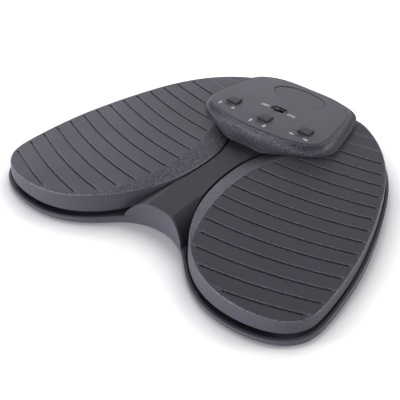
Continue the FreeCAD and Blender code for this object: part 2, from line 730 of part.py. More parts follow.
def arch_points(drop):
    """Right half of the notch's arch in front view, lowered by a distance."""
    return [
        Vector(ARCH_SHOULDER, S.spine_top + 0.1 - drop, 0),
        Vector(ARCH_MIDDLE.x - 0.6 * drop, ARCH_MIDDLE.y - 0.8 * drop, 0),
        Vector(ARCH_FOOT - 1.2 * drop, ARCH_TOE, 0),
    ]


def draw_arch(sketch, drop=0.0, top=40.0):
    """The region above the notch's arch, up to a level line."""
    points = arch_points(drop)
    for sign in (-1, 1):
        half = [Vector(sign * point.x, point.y, 0) for point in points]
        outer = Vector(sign * ARCH_REACH, ARCH_TOE, 0)
        corner = Vector(sign * ARCH_REACH, top, 0)
        sketch.addGeometry(Part.Arc(*half), False)
        sketch.addGeometry(Part.LineSegment(half[2], outer), False)
        sketch.addGeometry(Part.LineSegment(outer, corner), False)
    left = Vector(-points[0].x, points[0].y, 0)
    sketch.addGeometry(Part.LineSegment(left, points[0]), False)
    sketch.addGeometry(Part.LineSegment(Vector(-ARCH_REACH, top, 0), Vector(ARCH_REACH, top, 0)), False)


def draw_roof(sketch, thickness):
    """The strip between the arch and the same arch lowered by a thickness."""
    above = arch_points(-1.0)
    below = arch_points(thickness)
    for points in (above, below):
        for sign in (-1, 1):
            sketch.addGeometry(Part.Arc(*[Vector(sign * p.x, p.y, 0) for p in points]), False)
        left = Vector(-points[0].x, points[0].y, 0)
        sketch.addGeometry(Part.LineSegment(left, points[0]), False)
    for sign in (-1, 1):
        ends = [Vector(sign * points[2].x, points[2].y, 0) for points in (above, below)]
        sketch.addGeometry(Part.LineSegment(*ends), False)


def core_points(distance):
    """The right side of the middle housing, front to rear, moved in by a distance."""
    gap = S.pedal_draft + S.cover_gap + distance
    outline = pedal_outline(gap)
    last = len(INNER_RIM) - 1
    curve = closed_spline(PEDAL)
    halfway = (curve.parameter(PEDAL[last - 1]) + curve.parameter(PEDAL[last])) / 2
    along = curve.tangent(halfway)[0]
    bend = curve.value(halfway) + Vector(-along.y, along.x, 0) * gap
    rear = [
        Vector(35.0 - distance, REAR_END - 7.8, 0),
        Vector(29.4 - distance, REAR_END - 3.4 - distance, 0),
    ]
    return outline[-2:] + outline[:last] + [bend, outline[last]] + rear


def draw_core(sketch, distance, y_front, y_rear=None):
    """Closed outline of the middle housing from y_front on, moved in by a distance."""
    points = core_points(distance)
    whole = open_spline(points)
    first = depth_parameter(whole, y_front)
    last = whole.LastParameter if y_rear is None else depth_parameter(whole, y_rear)
    for side in (points, mirrored(points)):
        curve = open_spline(side)
        curve.segment(first, last)
        sketch.addGeometry(curve, False)
    for parameter in (first, last):
        end = whole.value(parameter)
        sketch.addGeometry(Part.LineSegment(Vector(end.x, end.y, 0), Vector(-end.x, end.y, 0)), False)


def depth_parameter(curve, y):
    """Where a curve that runs from front to rear crosses a depth y."""
    low = curve.FirstParameter
    high = curve.LastParameter
    for _ in range(60):
        middle = (low + high) / 2
        if curve.value(middle).y < y:
            low = middle
        else:
            high = middle
    return low


def draw_front_trim(sketch, inset):
    """Everything in front of the notch's face, which is moved back by an inset."""
    sides = pedal_outline(RIM_REACH)
    right = NOTCH + [sides[-1], sides[-2]]
    left = mirrored(right[1:])
    left.reverse()
    sweep = grown(left + right, inset, closed=False)
    sketch.addGeometry(open_spline(sweep), False)
    corners = [sweep[-1], Vector(sweep[-1].x, FAR_FRONT, 0), Vector(sweep[0].x, FAR_FRONT, 0), sweep[0]]
    for start, end in zip(corners, corners[1:]):
        sketch.addGeometry(Part.LineSegment(start, end), False)


ROOF_REAR = -44.0
FRONT_GAP = 0.3


def build_spine():
    """The middle housing: spine between the pedals, pedestal and the console's lip."""
    body = new_body("spine_housing")
    front = NOTCH_APEX - 24.0
    roof = add_sketch(body, "front_roof_profile", role="XZ_Plane", offset=-ROOF_REAR)
    draw_roof(roof, S.spine_plate)
    add_pad(body, "front_roof", roof, ROOF_REAR - front + 10.0)
    sides = add_sketch(body, "front_roof_sides", offset=0)
    draw_box(sides, 0, 0, 2 * WIDE, 2 * WIDE)
    draw_core(sides, 0.0, front)
    add_pocket(body, "front_roof_trim", sides, "Dims.lip_under", reverse=True)
    wall = add_sketch(body, "core_walls", offset=FLOOR_TOP)
    draw_core(wall, 0.0, front)
    draw_core(wall, S.cover_wall, front + S.cover_wall)
    add_pad(body, "core_wall_pad", wall, f"Dims.spine_top - ({FLOOR_TOP})")
    plate = add_sketch(body, "spine_plate", offset="Dims.spine_top - Dims.spine_plate")
    draw_core(plate, 0.0, ROOF_REAR - S.cover_wall, PEDESTAL_FRONT + S.cover_wall)
    add_pad(body, "spine_plate_pad", plate, "Dims.spine_plate")
    arch = add_sketch(body, "spine_arch_profile", role="XZ_Plane", offset=-ROOF_REAR - 0.5)
    draw_arch(arch)
    add_pocket(body, "spine_arch", arch, WIDE, reverse=True)
    trim = add_sketch(body, "core_trim", offset=FLOOR_TOP)
    draw_front_trim(trim, S.rim_wall + FRONT_GAP)
    add_pocket(body, "core_front_cut", trim, "Dims.spine_top", reverse=True)
    pedestal = add_sketch(body, "pedestal", offset=FLOOR_TOP)
    draw_core(pedestal, 0.0, PEDESTAL_FRONT)
    draw_core(pedestal, S.cover_wall, PEDESTAL_FRONT + S.cover_wall)
    add_pad(body, "pedestal_pad", pedestal, f"Dims.lip_under - ({FLOOR_TOP}) + {WELD}")
    ledge = add_sketch(body, "pedestal_ledge", offset="Dims.lip_under")
    draw_box(ledge, 0, 70, 2 * WIDE, 2 * WIDE)
    draw_spline(ledge, console_outline(CONSOLE_LIP, -LIP_INSET - 0.1 - WELD))
    add_pocket(body, "pedestal_ledge_cut", ledge, 2 * WELD, reverse=True)
    lip = add_sketch(body, "lip_plate", offset="Dims.lip_under")
    draw_spline(lip, console_outline(CONSOLE_LIP, -LIP_INSET - 0.1))
    draw_core(lip, S.cover_wall + WELD, PEDESTAL_FRONT + S.cover_wall + WELD)
    add_pad(body, "lip_pad", lip, "Dims.lip_thickness")
    bosses = add_sketch(body, "screw_bosses", offset=FLOOR_TOP)
    cores = add_sketch(body, "screw_cores", offset=FLOOR_TOP)
    for x, y in both_sides(SCREW_SPOTS):
        draw_circle(bosses, x, y, SCREW_BOSS)
        draw_circle(cores, x, y, SCREW_CORE)
    add_pad(body, "screw_boss_pads", bosses, f"Dims.spine_top - Dims.spine_plate - ({FLOOR_TOP}) + {WELD}")
    add_pocket(body, "screw_core_holes", cores, 11.0, reverse=True)
    port = add_sketch(body, "jack_port", role="XZ_Plane", offset=-REAR_END - 2.0)
    draw_box(port, 0, JACK_BASE + 1.0 + JACK_HEIGHT / 2, JACK_WIDTH + 0.6, JACK_HEIGHT + 0.6)
    add_pocket(body, "jack_port_cut", port, 8.0, reverse=True)
    return keep(body)


PEDESTAL_FRONT = 22.9
LIP_INSET = 1.6
WELD = 0.2


def is_console_edge(edge):
    """The console's top edge is the long one that climbs from rear to front."""
    box = edge.BoundBox
    return box.ZMax > S.console_height - 1 and box.XLength > 60


def build_console():
    """The console's upper shell with its flared foot and openings."""
    body = new_body("console_cover")
    lip = console_outline(CONSOLE_LIP)
    ring = add_sketch(body, "console_lip", offset="Dims.lip_under")
    draw_spline(ring, lip)
    add_pad(body, "console_lip_pad", ring, "Dims.lip_thickness")
    edge = console_outline(CONSOLE_EDGE)
    seat = "Dims.lip_under + Dims.lip_thickness"
    levels = [
        ("console_foot", lip, seat),
        ("console_flare", between(lip, edge, 0.62), seat + " + 1.5"),
        ("console_waist", between(lip, edge, 0.86), seat + " + 4"),
        ("console_head", edge, seat + " + 12"),
    ]
    sections = []
    for name, outline, height in levels:
        sketch = add_sketch(body, name, offset=height)
        draw_spline(sketch, outline)
        sections.append(sketch)
    add_loft(body, "console_shell", sections)
    above = top_sketch(body, "console_above", 0)
    draw_box(above, 0, 70, 200, 200)
    cut = add_pocket(body, "console_slope_cut", above, 30, reverse=True)
    doc.recompute()
    names = edges_of(cut.Shape, is_console_edge)
    rounding = body.newObject("PartDesign::Fillet", "console_edge")
    rounding.Base = (cut, names)
    rounding.setExpression("Radius", "Dims.console_round")
    roof = top_sketch(body, "console_roof", "Dims.cover_wall")
    draw_spline(roof, console_outline(CONSOLE_EDGE, -S.cover_wall))
    add_pocket(body, "console_hollow", roof, 30)
    nest = add_sketch(body, "lip_nest", offset="Dims.lip_under")
    draw_spline(nest, console_outline(CONSOLE_LIP, -LIP_INSET))
    add_pocket(body, "lip_nest_cut", nest, "Dims.lip_thickness", reverse=True)
    keys = top_sketch(body, "button_holes", 0)
    for x, y in BUTTON_SPOTS:
        draw_box(keys, x, y * SLANT, S.button_width + 2 * S.button_gap, S.button_depth + 2 * S.button_gap)
        window = (y - S.window_ahead) * SLANT + WINDOW_LEAN
        draw_box(keys, x, window, S.window_width + 0.2, S.window_depth + 2 * WINDOW_LEAN + 0.2)
    add_pocket(body, "button_openings", keys, 6)
    dish = top_sketch(body, "power_dish", 0)
    draw_capsule(dish, 0, S.power_row * SLANT, POWER_SLOT + 5.0, 7.6)
    add_pocket(body, "power_recess", dish, 0.9)
    slot = top_sketch(body, "power_slot", 0)
    draw_box(slot, 0, S.power_row * SLANT, POWER_SLOT, 3.2)
    add_pocket(body, "power_opening", slot, 6)
    oval = top_sketch(body, "badge_oval", 0)
    major = S.badge_width / 2
    ellipse = Part.Ellipse(Vector(0, S.badge_row, 0), major, S.badge_depth / 2)
    oval.addGeometry(ellipse, False)
    add_pocket(body, "badge_recess", oval, 0.8)
    return keep(body)


POWER_SLOT = S.power_travel + 4.6
SLANT = 1 / math.cos(math.radians(S.console_slope))
WINDOW_LEAN = 0.2
BUTTON_SPOTS = [
    (-S.button_spread, S.button_row + S.button_setback),
    (0.0, S.button_row),
    (S.button_spread, S.button_row + S.button_setback),
]


def top_sketch(body, name, drop):
    """A sketch parallel to the console's top, a formula's distance below it."""
    turn = Rotation(Vector(1, 0, 0), -S.console_slope)
    sketch = add_sketch(body, name, turn=turn)
    rise = f"{CONSOLE_FRONT} * tan(Dims.console_slope * 1 deg)"
    sketch.setExpression("AttachmentOffset.Base.z", f"Dims.console_height + {rise} - ({drop})")
    return sketch


def grow_body(name, layers):
    """A body from a stack of layers: each is a drawing, a height and a thickness."""
    body = new_body(name)
    for index, (draw, height, thickness) in enumerate(layers, start=1):
        sketch = add_sketch(body, f"{name}_layer_{index}", offset=height)
        draw(sketch)
        add_pad(body, f"{name}_pad_{index}", sketch, thickness)
    return body


def build_door():
    """The battery door: a plate with two grip ridges and four hooks over the ledge."""
    plate_top = S.foot_height + S.door_thickness
    hook_x = DOOR_WIDTH / 2 - LEDGE - 1.0

    def draw_plate(sketch):
        draw_box(sketch, 0, DOOR_MIDDLE, DOOR_WIDTH - 2 * S.door_gap, DOOR_LENGTH - 2 * S.door_gap)

    def draw_webs(sketch):
        for x, y in both_sides([(hook_x, spot) for spot in HOOK_SPOTS]):
            draw_box(sketch, x, y, 1.2, HOOK_LENGTH)

    def draw_hooks(sketch):
        for x, y in both_sides([(hook_x + 0.5, spot) for spot in HOOK_SPOTS]):
            draw_box(sketch, x, y, 2.2, HOOK_LENGTH)

    body = grow_body("battery_door", [
        (draw_plate, "Dims.foot_height", "Dims.door_thickness"),
        (draw_webs, "Dims.foot_height + Dims.door_thickness", floor_top + 0.3 - plate_top),
        (draw_hooks, floor_top + 0.25, 0.9),
    ])
    grip = add_sketch(body, "door_grip", offset="Dims.foot_height")
    for step in range(4):
        draw_box(grip, 0, DOOR_MIDDLE + DOOR_LENGTH / 2 - 8.0 - 2.4 * step, 14.0, 1.0)
    add_pocket(body, "door_grip_cuts", grip, 0.6, reverse=True)
    return keep(body)


def lay_cylinder(name, radius, length, turn, x, y, z):
    """A Part cylinder laid along an axis."""
    rod = doc.addObject("Part::Cylinder", name)
    rod.setExpression("Radius", str(radius))
    rod.setExpression("Height", str(length))
    rod.Placement = Placement(Vector(0, 0, 0), turn)
    place(rod, x, y, z)
    return rod


REARWARD = Rotation(Vector(1, 0, 0), -90)
SIDEWAYS = Rotation(Vector(0, 1, 0), 90)


def build_cell(side, name):
    """A battery cell; the right one lies the other way round."""
    nub = 1.2
    nub_first = side > 0
    y = S.cell_front + (nub if nub_first else 0)
    can = lay_cylinder(name + "_can", "Dims.cell_radius", f"Dims.cell_length - {nub}", REARWARD,
                       side * CELL_SPREAD, y, CELL_HEIGHT)
    tip_y = S.cell_front if nub_first else S.cell_front + S.cell_length - nub - 0.1
    tip = lay_cylinder(name + "_nub", 2.7, nub + 0.1, REARWARD, side * CELL_SPREAD, tip_y, CELL_HEIGHT)
    cell = doc.addObject("Part::Fuse", name)
    cell.Label = name
    cell.Base = can
    cell.Tool = tip
    return keep(cell)


def build_group(name, shapes):
    """Several like pieces in one node, as a group of separate solids."""
    group = doc.addObject("Part::Feature", name)
    group.Label = name
    group.Shape = Part.makeCompound(shapes)
    return keep(group)


def upright(radius, height, x, y, z):
    return Part.makeCylinder(radius, height, Vector(x, y, z))


def block(width, depth, height, x_mid, y_mid, z):
    return Part.makeBox(width, depth, height, Vector(x_mid - width / 2, y_mid - depth / 2, z))


def build_feet():
    feet = []
    for x, y in both_sides(FOOT_SPOTS):
        foot = upright(S.foot_radius, S.foot_height + S.foot_seat, x, y, 0)
        bottom = [edge for edge in foot.Edges if edge.BoundBox.ZMax < 0.01]
        feet.append(foot.makeFillet(0.5, bottom))
    return build_group("rubber_feet", feet)


def pan_screw(length, shank, head, x, y, z):
    """A screw that points up: a round head with a cross recess, and its shank."""
    screw = upright(head, SCREW_SINK - 0.2, x, y, z).fuse(upright(shank, length, x, y, z))
    for width, depth in ((3.0, 0.6), (0.6, 3.0)):
        screw = screw.cut(block(width, depth, 0.6, x, y, z))
    return screw


def build_cover_screws():
    screws = []
    for x, y in both_sides(SCREW_SPOTS):
        screws.append(pan_screw(9.0, SCREW_CORE - 0.05, SCREW_HEAD, x, y, S.foot_height + 0.2))
    return build_group("cover_screws", screws)


BOARD_TOP = S.lip_under + S.lip_thickness + S.board_thickness
TACT_HEIGHT = 1.3
TACT_SIZE = 6.0
STEM_RISE = 1.0
STEM_SUNK = 0.35
STEM_RADIUS = 1.6
BORE_GAP = 0.3
FLANGE = 0.8


def build_main_board():
    """The circuit board that lies on the lip plate under the console's shell."""
    body = new_body("main_board")
    seat = "Dims.lip_under + Dims.lip_thickness"
    sketch = add_sketch(body, "board_outline", offset=seat)
    draw_loop(sketch, [(-24, 34.6), (24, 34.6), (42, 44), (42, 79), (-42, 79), (-42, 44)])
    add_pad(body, "board_pad", sketch, "Dims.board_thickness")
    return keep(body)


def build_button_switches():
    cases = []
    for x, y in BUTTON_SPOTS:
        case = block(TACT_SIZE, TACT_SIZE, TACT_HEIGHT, x, y, BOARD_TOP)
        cases.append(case.cut(upright(STEM_RADIUS + BORE_GAP, TACT_HEIGHT, x, y, BOARD_TOP + 0.3)))
    return build_group("button_switches", cases)


def build_button(name, x, y):
    """A push button: a cap through the console with a flange below, crowned on top."""
    seat = BOARD_TOP + TACT_HEIGHT + STEM_RISE
    top = console_top(y) + S.button_rise
    body = new_body(name + "_cap")

    def draw_flange(sketch):
        draw_box(sketch, x, y, S.button_width + 2.0, S.button_depth + 1.6)

    def draw_cap(sketch):
        draw_box(sketch, x, y, S.button_width, S.button_depth)

    flange = add_sketch(body, name + "_flange", offset=seat)
    draw_flange(flange)
    add_pad(body, name + "_flange_pad", flange, FLANGE)
    cap = add_sketch(body, name + "_face", offset=seat)
    draw_cap(cap)
    pad = add_pad(body, name + "_cap_pad", cap, top - seat)
    doc.recompute()
    upper = edges_of(pad.Shape, lambda edge: edge.BoundBox.ZMin > seat + FLANGE + 0.1)
    rounding = body.newObject("PartDesign::Fillet", name + "_rounding")
    rounding.Base = (pad, upper)
    rounding.Radius = 0.7
    stem = doc.addObject("Part::Cylinder", name + "_stem")
    stem.Label = name + "_stem"
    stem.Radius = STEM_RADIUS
    stem.Height = STEM_RISE + STEM_SUNK
    place(stem, x, y, seat - STEM_RISE - STEM_SUNK)
    return keep(body), keep(stem)


def build_windows():
    pipes = []
    lamps = []
    for x, y in BUTTON_SPOTS:
        spot = y - S.window_ahead
        top = console_top(spot) - 0.15
        pipe = block(S.window_width, S.window_depth, top - BOARD_TOP - 1.0, x, spot, BOARD_TOP + 1.0)
        pipes.append(pipe)
        lamps.append(block(3.0, 1.6, 0.8, x, spot, BOARD_TOP))
    return build_group("light_windows", pipes), build_group("indicator_lamps", lamps)


POWER_CASE = 1.7
KNOB_WIDTH = 4.0


def build_power_switch():
    """The slide switch's case and its knob, at rest on the left."""
    case = block(KNOB_WIDTH + S.power_travel + 5.0, 4.4, POWER_CASE, 0, S.power_row, BOARD_TOP)
    build_group("power_switch_case", [case])
    body = new_body("power_knob")
    x = -S.power_travel / 2
    base = BOARD_TOP + POWER_CASE
    foot = add_sketch(body, "knob_foot", offset=base)
    draw_box(foot, x, S.power_row, KNOB_WIDTH + S.power_travel + 1.4, 4.0)
    add_pad(body, "knob_foot_pad", foot, 0.45)
    nub = add_sketch(body, "knob_nub", offset=base)
    draw_box(nub, x, S.power_row, KNOB_WIDTH, 2.4)
    pad = add_pad(body, "knob_nub_pad", nub, console_top(S.power_row) + 0.5 - base)
    doc.recompute()
    ends = edges_of(pad.Shape, lambda edge: edge.BoundBox.ZMin > base + 1.5)
    rounding = body.newObject("PartDesign::Fillet", "knob_rounding")
    rounding.Base = (pad, ends)
    rounding.Radius = 0.4
    return keep(body)


def build_badge():
    """A blank oval plate in the console's recess."""
    body = new_body("oval_plate")
    sketch = top_sketch(body, "oval_plate_outline", 0.8)
    ellipse = Part.Ellipse(Vector(0, S.badge_row, 0), S.badge_width / 2 - 0.3, S.badge_depth / 2 - 0.3)
    sketch.addGeometry(ellipse, False)
    add_pad(body, "oval_plate_pad", sketch, 0.5)
    return keep(body)


def build_jack():
    """The small board and socket behind the port in the pedestal's rear wall."""
    rear = REAR_END - 3.2 - S.cover_wall
    board = block(12.0, rear - 0.4 - JACK_FRONT, 1.0, 0, (rear - 0.4 + JACK_FRONT) / 2, JACK_BASE)
    build_group("jack_board", [board])
    length = 7.0
    base = JACK_BASE + 1.0
    middle = rear + S.cover_wall - 0.4 - length / 2
    shell = block(JACK_WIDTH, length, JACK_HEIGHT, 0, middle, base)
    mouth = block(JACK_WIDTH - 0.8, length, JACK_HEIGHT - 0.8, 0, middle + 1.0, base + 0.4)
    tongue = block(JACK_WIDTH - 3.4, length - 1.6, 1.0, 0, middle - 0.6, base + 1.5)
    return build_group("power_jack", [shell.cut(mouth).fuse(tongue)])


def build_pin(side, name):
    start = "Dims.hinge_inner" if side > 0 else "-Dims.hinge_inner - Dims.hinge_length"
    pin = lay_cylinder(name, "Dims.hinge_pin_radius", "Dims.hinge_length", SIDEWAYS,
                       start, "Dims.hinge_rear", "Dims.hinge_height")
    pin.Label = name
    return keep(pin)


def build_pedal_switch(side, name):
    """A snap switch's case with its bore, on the tray's platform."""
    x = side * SWITCH_SPOT[0]
    y = SWITCH_SPOT[1]
    case = block(12.8, 6.4, SWITCH_TOP - SWITCH_BASE, x, y, SWITCH_BASE)
    case = case.cut(upright(PLUNGER_RADIUS + BORE_GAP, 3.4, x, y, SWITCH_TOP - 3.4))
    for offset in (-4.6, 4.6):
        hole = Part.makeCylinder(0.8, 8.0, Vector(x + offset, y - 4.0, SWITCH_BASE + 1.4), Vector(0, 1, 0))
        case = case.cut(hole)
    build_group(name, [case])


PLUNGER_RADIUS = 1.6
SWITCH_TOP = PLUNGER_TOP - drop_at(SWITCH_SPOT[1])
PLUNGER_LENGTH = 3.2


def build_plunger(side, name):
    """The switch's plunger, domed on top, which the pedal's post presses."""
    x = side * SWITCH_SPOT[0]
    rod = upright(PLUNGER_RADIUS, PLUNGER_LENGTH, x, SWITCH_SPOT[1], PLUNGER_TOP - PLUNGER_LENGTH)
    crown = [edge for edge in rod.Edges if edge.BoundBox.ZMin > PLUNGER_TOP - 0.01]
    build_group(name, [rod.makeFillet(0.5, crown)])


SPRING_TURNS = 4.5
SPRING_STEPS = 12


def build_spring(side, name):
    """The return spring between the tray's stub and the pedal's cup."""
    low = floor_top + SPRING_WIRE + 0.05
    length = CUP_UNDER - SPRING_WIRE - 0.3 - low
    steps = int(SPRING_TURNS * SPRING_STEPS)
    path = []
    for step in range(steps + 1):
        turn = 2 * math.pi * step / SPRING_STEPS
        spot = Vector(math.cos(turn), math.sin(turn), 0) * SPRING_RADIUS
        path.append(spot + Vector(0, 0, length * step / steps))
    centre_line = open_spline(path)
    along = centre_line.tangent(centre_line.FirstParameter)[0]
    ring = Part.Wire([Part.Circle(path[0], along, SPRING_WIRE).toShape()])
    coil = Part.Wire([centre_line.toShape()]).makePipeShell([ring], True, True)
    coil.translate(Vector(side * SPRING_SPOT[0], SPRING_SPOT[1], low))
    build_group(name, [coil])


def build_stop_pads():
    pads = []
    for x, y in both_sides([STOP_SPOT]):
        pads.append(upright(4.0, PAD_THICKNESS, x, y, STOP_POST))
    return build_group("stop_pads", pads)


def build_contacts():
    """Plates at both ends of the cells, with a cone spring at each negative end."""
    plates = []
    front = DOOR_MIDDLE - DOOR_LENGTH / 2 + BOX_WALL
    rear = DOOR_MIDDLE + DOOR_LENGTH / 2 - BOX_WALL
    for side in (-1, 1):
        x = side * CELL_SPREAD
        for y, inward in ((front, 1), (rear, -1)):
            plate = block(11.0, 0.4, 11.0, x, y + inward * 0.2, CELL_HEIGHT - 5.5)
            cell_end = S.cell_front if inward > 0 else S.cell_front + S.cell_length
            reach_out = abs(cell_end - y) - 0.45
            cone = Part.makeCone(3.8, 2.2, reach_out, Vector(x, y + inward * 0.4, CELL_HEIGHT),
                                 Vector(0, inward, 0))
            plates.append(plate.fuse(cone))
    return build_group("cell_contacts", plates)


build_tray()
build_spine()
build_console()
build_pedal(-1, "left_pedal")
build_pedal(1, "right_pedal")
build_door()
build_feet()
build_cover_screws()
build_main_board()
build_button_switches()
for button_name, (button_x, button_y) in zip(("left_button", "middle_button", "right_button"), BUTTON_SPOTS):
    build_button(button_name, button_x, button_y)
build_windows()
build_power_switch()
build_badge()
build_jack()
build_stop_pads()
build_contacts()
for hand, hand_name in ((-1, "left"), (1, "right")):
    build_cell(hand, hand_name + "_cell")
    build_pin(hand, hand_name + "_hinge_pin")
    build_pedal_switch(hand, hand_name + "_pedal_switch")
    build_plunger(hand, hand_name + "_switch_plunger")
    build_spring(hand, hand_name + "_return_spring")

doc.recompute()
failed = [item.Name for item in doc.Objects if {"Invalid", "Error"} & set(item.State)]
if failed:
    raise RuntimeError("objects that failed: " + ", ".join(failed))
for node in NODES:
    if node.Shape.isNull() or not node.Shape.isValid():
        raise RuntimeError("bad shape: " + node.Label)
for node in NODES:
    node.Shape.exportStep(f"parts/{node.Label}.step")
    box = node.Shape.BoundBox
    size = f"{box.XLength:.1f} x {box.YLength:.1f} x {box.ZLength:.1f}"
    print(f"{node.Label:24s} solids {len(node.Shape.Solids)} volume {node.Shape.Volume:10.1f} size {size}")
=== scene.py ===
# %% [markdown]
# # A foot pedal switch on a white floor
# The imported model gives every solid piece of the switch in metres, with its
# place already in its mesh. This script leaves those pieces where they are and
# gives them finishes. Then it adds welded copies of the springs, and what a solid
# model doesn't have: printed marks, a studio floor, lamps and a camera. The first
# cell loads the frame and keeps its box, because what is added later may not make
# the switch any larger.

# %% Load the frame
import math

import bpy
from mathutils import Matrix, Vector


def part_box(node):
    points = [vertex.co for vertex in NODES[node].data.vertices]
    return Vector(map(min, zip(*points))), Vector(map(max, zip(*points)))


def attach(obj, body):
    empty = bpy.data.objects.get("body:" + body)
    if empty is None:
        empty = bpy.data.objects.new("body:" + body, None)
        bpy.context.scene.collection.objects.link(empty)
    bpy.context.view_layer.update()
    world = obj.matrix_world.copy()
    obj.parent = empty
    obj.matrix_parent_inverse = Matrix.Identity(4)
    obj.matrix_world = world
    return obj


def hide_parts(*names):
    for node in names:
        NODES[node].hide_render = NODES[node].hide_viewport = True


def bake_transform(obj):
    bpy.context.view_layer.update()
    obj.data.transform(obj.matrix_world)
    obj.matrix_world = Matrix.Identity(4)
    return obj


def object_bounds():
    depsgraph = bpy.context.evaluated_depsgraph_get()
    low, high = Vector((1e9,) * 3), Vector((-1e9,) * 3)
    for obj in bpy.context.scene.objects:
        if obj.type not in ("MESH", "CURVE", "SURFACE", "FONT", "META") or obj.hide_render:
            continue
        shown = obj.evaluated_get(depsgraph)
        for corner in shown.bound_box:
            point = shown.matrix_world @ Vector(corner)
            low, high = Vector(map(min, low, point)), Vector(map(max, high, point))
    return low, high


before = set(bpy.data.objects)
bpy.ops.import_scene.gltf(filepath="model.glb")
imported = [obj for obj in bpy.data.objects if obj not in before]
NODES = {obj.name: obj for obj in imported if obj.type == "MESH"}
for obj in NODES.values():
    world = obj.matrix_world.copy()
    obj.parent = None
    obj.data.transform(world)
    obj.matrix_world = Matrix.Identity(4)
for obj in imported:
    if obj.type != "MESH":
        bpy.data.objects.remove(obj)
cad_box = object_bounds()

MM = 0.001
low_corner, high_corner = cad_box
print("nodes:", len(NODES), "size in mm:", [round(v / MM, 1) for v in high_corner - low_corner])

# %% [markdown]
# ## The camera
# A product photograph is usually taken from some distance with a long lens, so
# that near and far parts keep their proportions. The camera here stands in front
# of the switch on its right side and looks down on it at about forty degrees.
# Its place is worked out from a point that it looks at, two angles and a
# distance, because these are easier to read and to change than coordinates.
# Blender gives the lens and the sensor in millimetres and the rest in metres.

# %% Camera
LOOK_AT = Vector((15.25, -48.3, 22.7)) * MM
AZIMUTH = math.radians(39.747)
ELEVATION = math.radians(39.551)
DISTANCE = 551.47 * MM
LENS = 73.17
SENSOR_WIDTH = 36.0
NEAREST_SEEN = 0.01
FARTHEST_SEEN = 20.0

backwards = Vector((
    math.sin(AZIMUTH) * math.cos(ELEVATION),
    -math.cos(AZIMUTH) * math.cos(ELEVATION),
    math.sin(ELEVATION),
))
bpy.ops.object.select_all(action="DESELECT")
bpy.ops.object.camera_add(location=LOOK_AT + backwards * DISTANCE)
camera = bpy.context.object
camera.name = "photo_camera"
camera.rotation_euler = (-backwards).to_track_quat("-Z", "Y").to_euler()
camera.data.lens = LENS
camera.data.sensor_width = SENSOR_WIDTH
camera.data.clip_start = NEAREST_SEEN
camera.data.clip_end = FARTHEST_SEEN
bpy.context.scene.camera = camera
print("camera at", [round(v, 3) for v in camera.location])

# %% [markdown]
# ## Which rays see the white background
# A white studio looks white in three ways: straight on, mirrored by a shiny
# piece, and through a clear one. Rays that carry light to the switch are another
# matter, because white there would flood it. Light Path tells what kind a ray is,
# and the larger of two answers stands for "the one or the other". This makes a
# mask that the sky and the floor share, so that the two always agree.

# %% The mask of background rays
WHITE = (1.0, 1.0, 1.0)


def add_math(tree, operation, first, second=None):
    """One step of arithmetic; each value is a number or another node's output."""
    step = tree.nodes.new("ShaderNodeMath")
    step.operation = operation
    for socket, value in zip(step.inputs, (first, second)):
        if isinstance(value, (int, float)):
            socket.default_value = value
        elif value is not None:
            tree.links.new(value, socket)
    return step.outputs[0]


def add_seen_mask(tree):
    """One for rays that show the background: seen, mirrored or through something clear."""
    rays = tree.nodes.new("ShaderNodeLightPath")
    mirrored = add_math(tree, "MAXIMUM", rays.outputs["Is Glossy Ray"],
                        rays.outputs["Is Transmission Ray"])
    return add_math(tree, "MAXIMUM", rays.outputs["Is Camera Ray"], mirrored)


print("background rays: camera, glossy and transmission")

# %% [markdown]
# ## The sky
# The walls of a studio send back a weak, even light. A single background colour
# can't be weak for the switch and white for the camera at once, so there are two,
# and the mask chooses between them.

# %% Sky
SKY_LEVEL = 0.08
SKY_TINT = (0.93, 0.95, 1.0)


def add_background(tree, colour, strength):
    """A sky of one even colour."""
    sky = tree.nodes.new("ShaderNodeBackground")
    sky.inputs["Color"].default_value = (*colour, 1.0)
    sky.inputs["Strength"].default_value = strength
    return sky.outputs[0]


bpy.context.scene.view_settings.view_transform = "Standard"
world = bpy.data.worlds.new("studio_sky")
bpy.context.scene.world = world
world.use_nodes = True
tree = world.node_tree
tree.nodes.clear()
output = tree.nodes.new("ShaderNodeOutputWorld")
mixer = tree.nodes.new("ShaderNodeMixShader")
tree.links.new(add_seen_mask(tree), mixer.inputs[0])
tree.links.new(add_background(tree, SKY_TINT, SKY_LEVEL), mixer.inputs[1])
tree.links.new(add_background(tree, WHITE, 1.0), mixer.inputs[2])
tree.links.new(mixer.outputs[0], output.inputs["Surface"])
print("sky level", SKY_LEVEL)

# %% [markdown]
# ## The floor
# The floor is one large sheet of pale, matte paper. For the background rays it
# glows a little on top of the light that it scatters, so that it reads as white.
# The glow fades close to the switch: Ambient Occlusion measures how much of the
# sky is open above a point, and where less of it is open the paper keeps the
# switch's soft shadow. A floor that glowed everywhere would hide that shadow,
# and the switch would seem to float.

# %% Floor
FLOOR_SPAN = 6.0
PAPER_GREY = 0.86
SHADOW_REACH = 45 * MM
SHADOW_SAMPLES = 16
OPEN_SKY = (0.55, 0.98)
PAPER_GLOW = (0.05, 0.90)


def add_range(tree, driver, low, high, start=0.3, end=0.7):
    """A number that goes from low to high as the driver goes from start to end."""
    mapped = tree.nodes.new("ShaderNodeMapRange")
    mapped.inputs["From Min"].default_value = start
    mapped.inputs["From Max"].default_value = end
    mapped.inputs["To Min"].default_value = low
    mapped.inputs["To Max"].default_value = high
    tree.links.new(driver, mapped.inputs["Value"])
    return mapped.outputs["Result"]


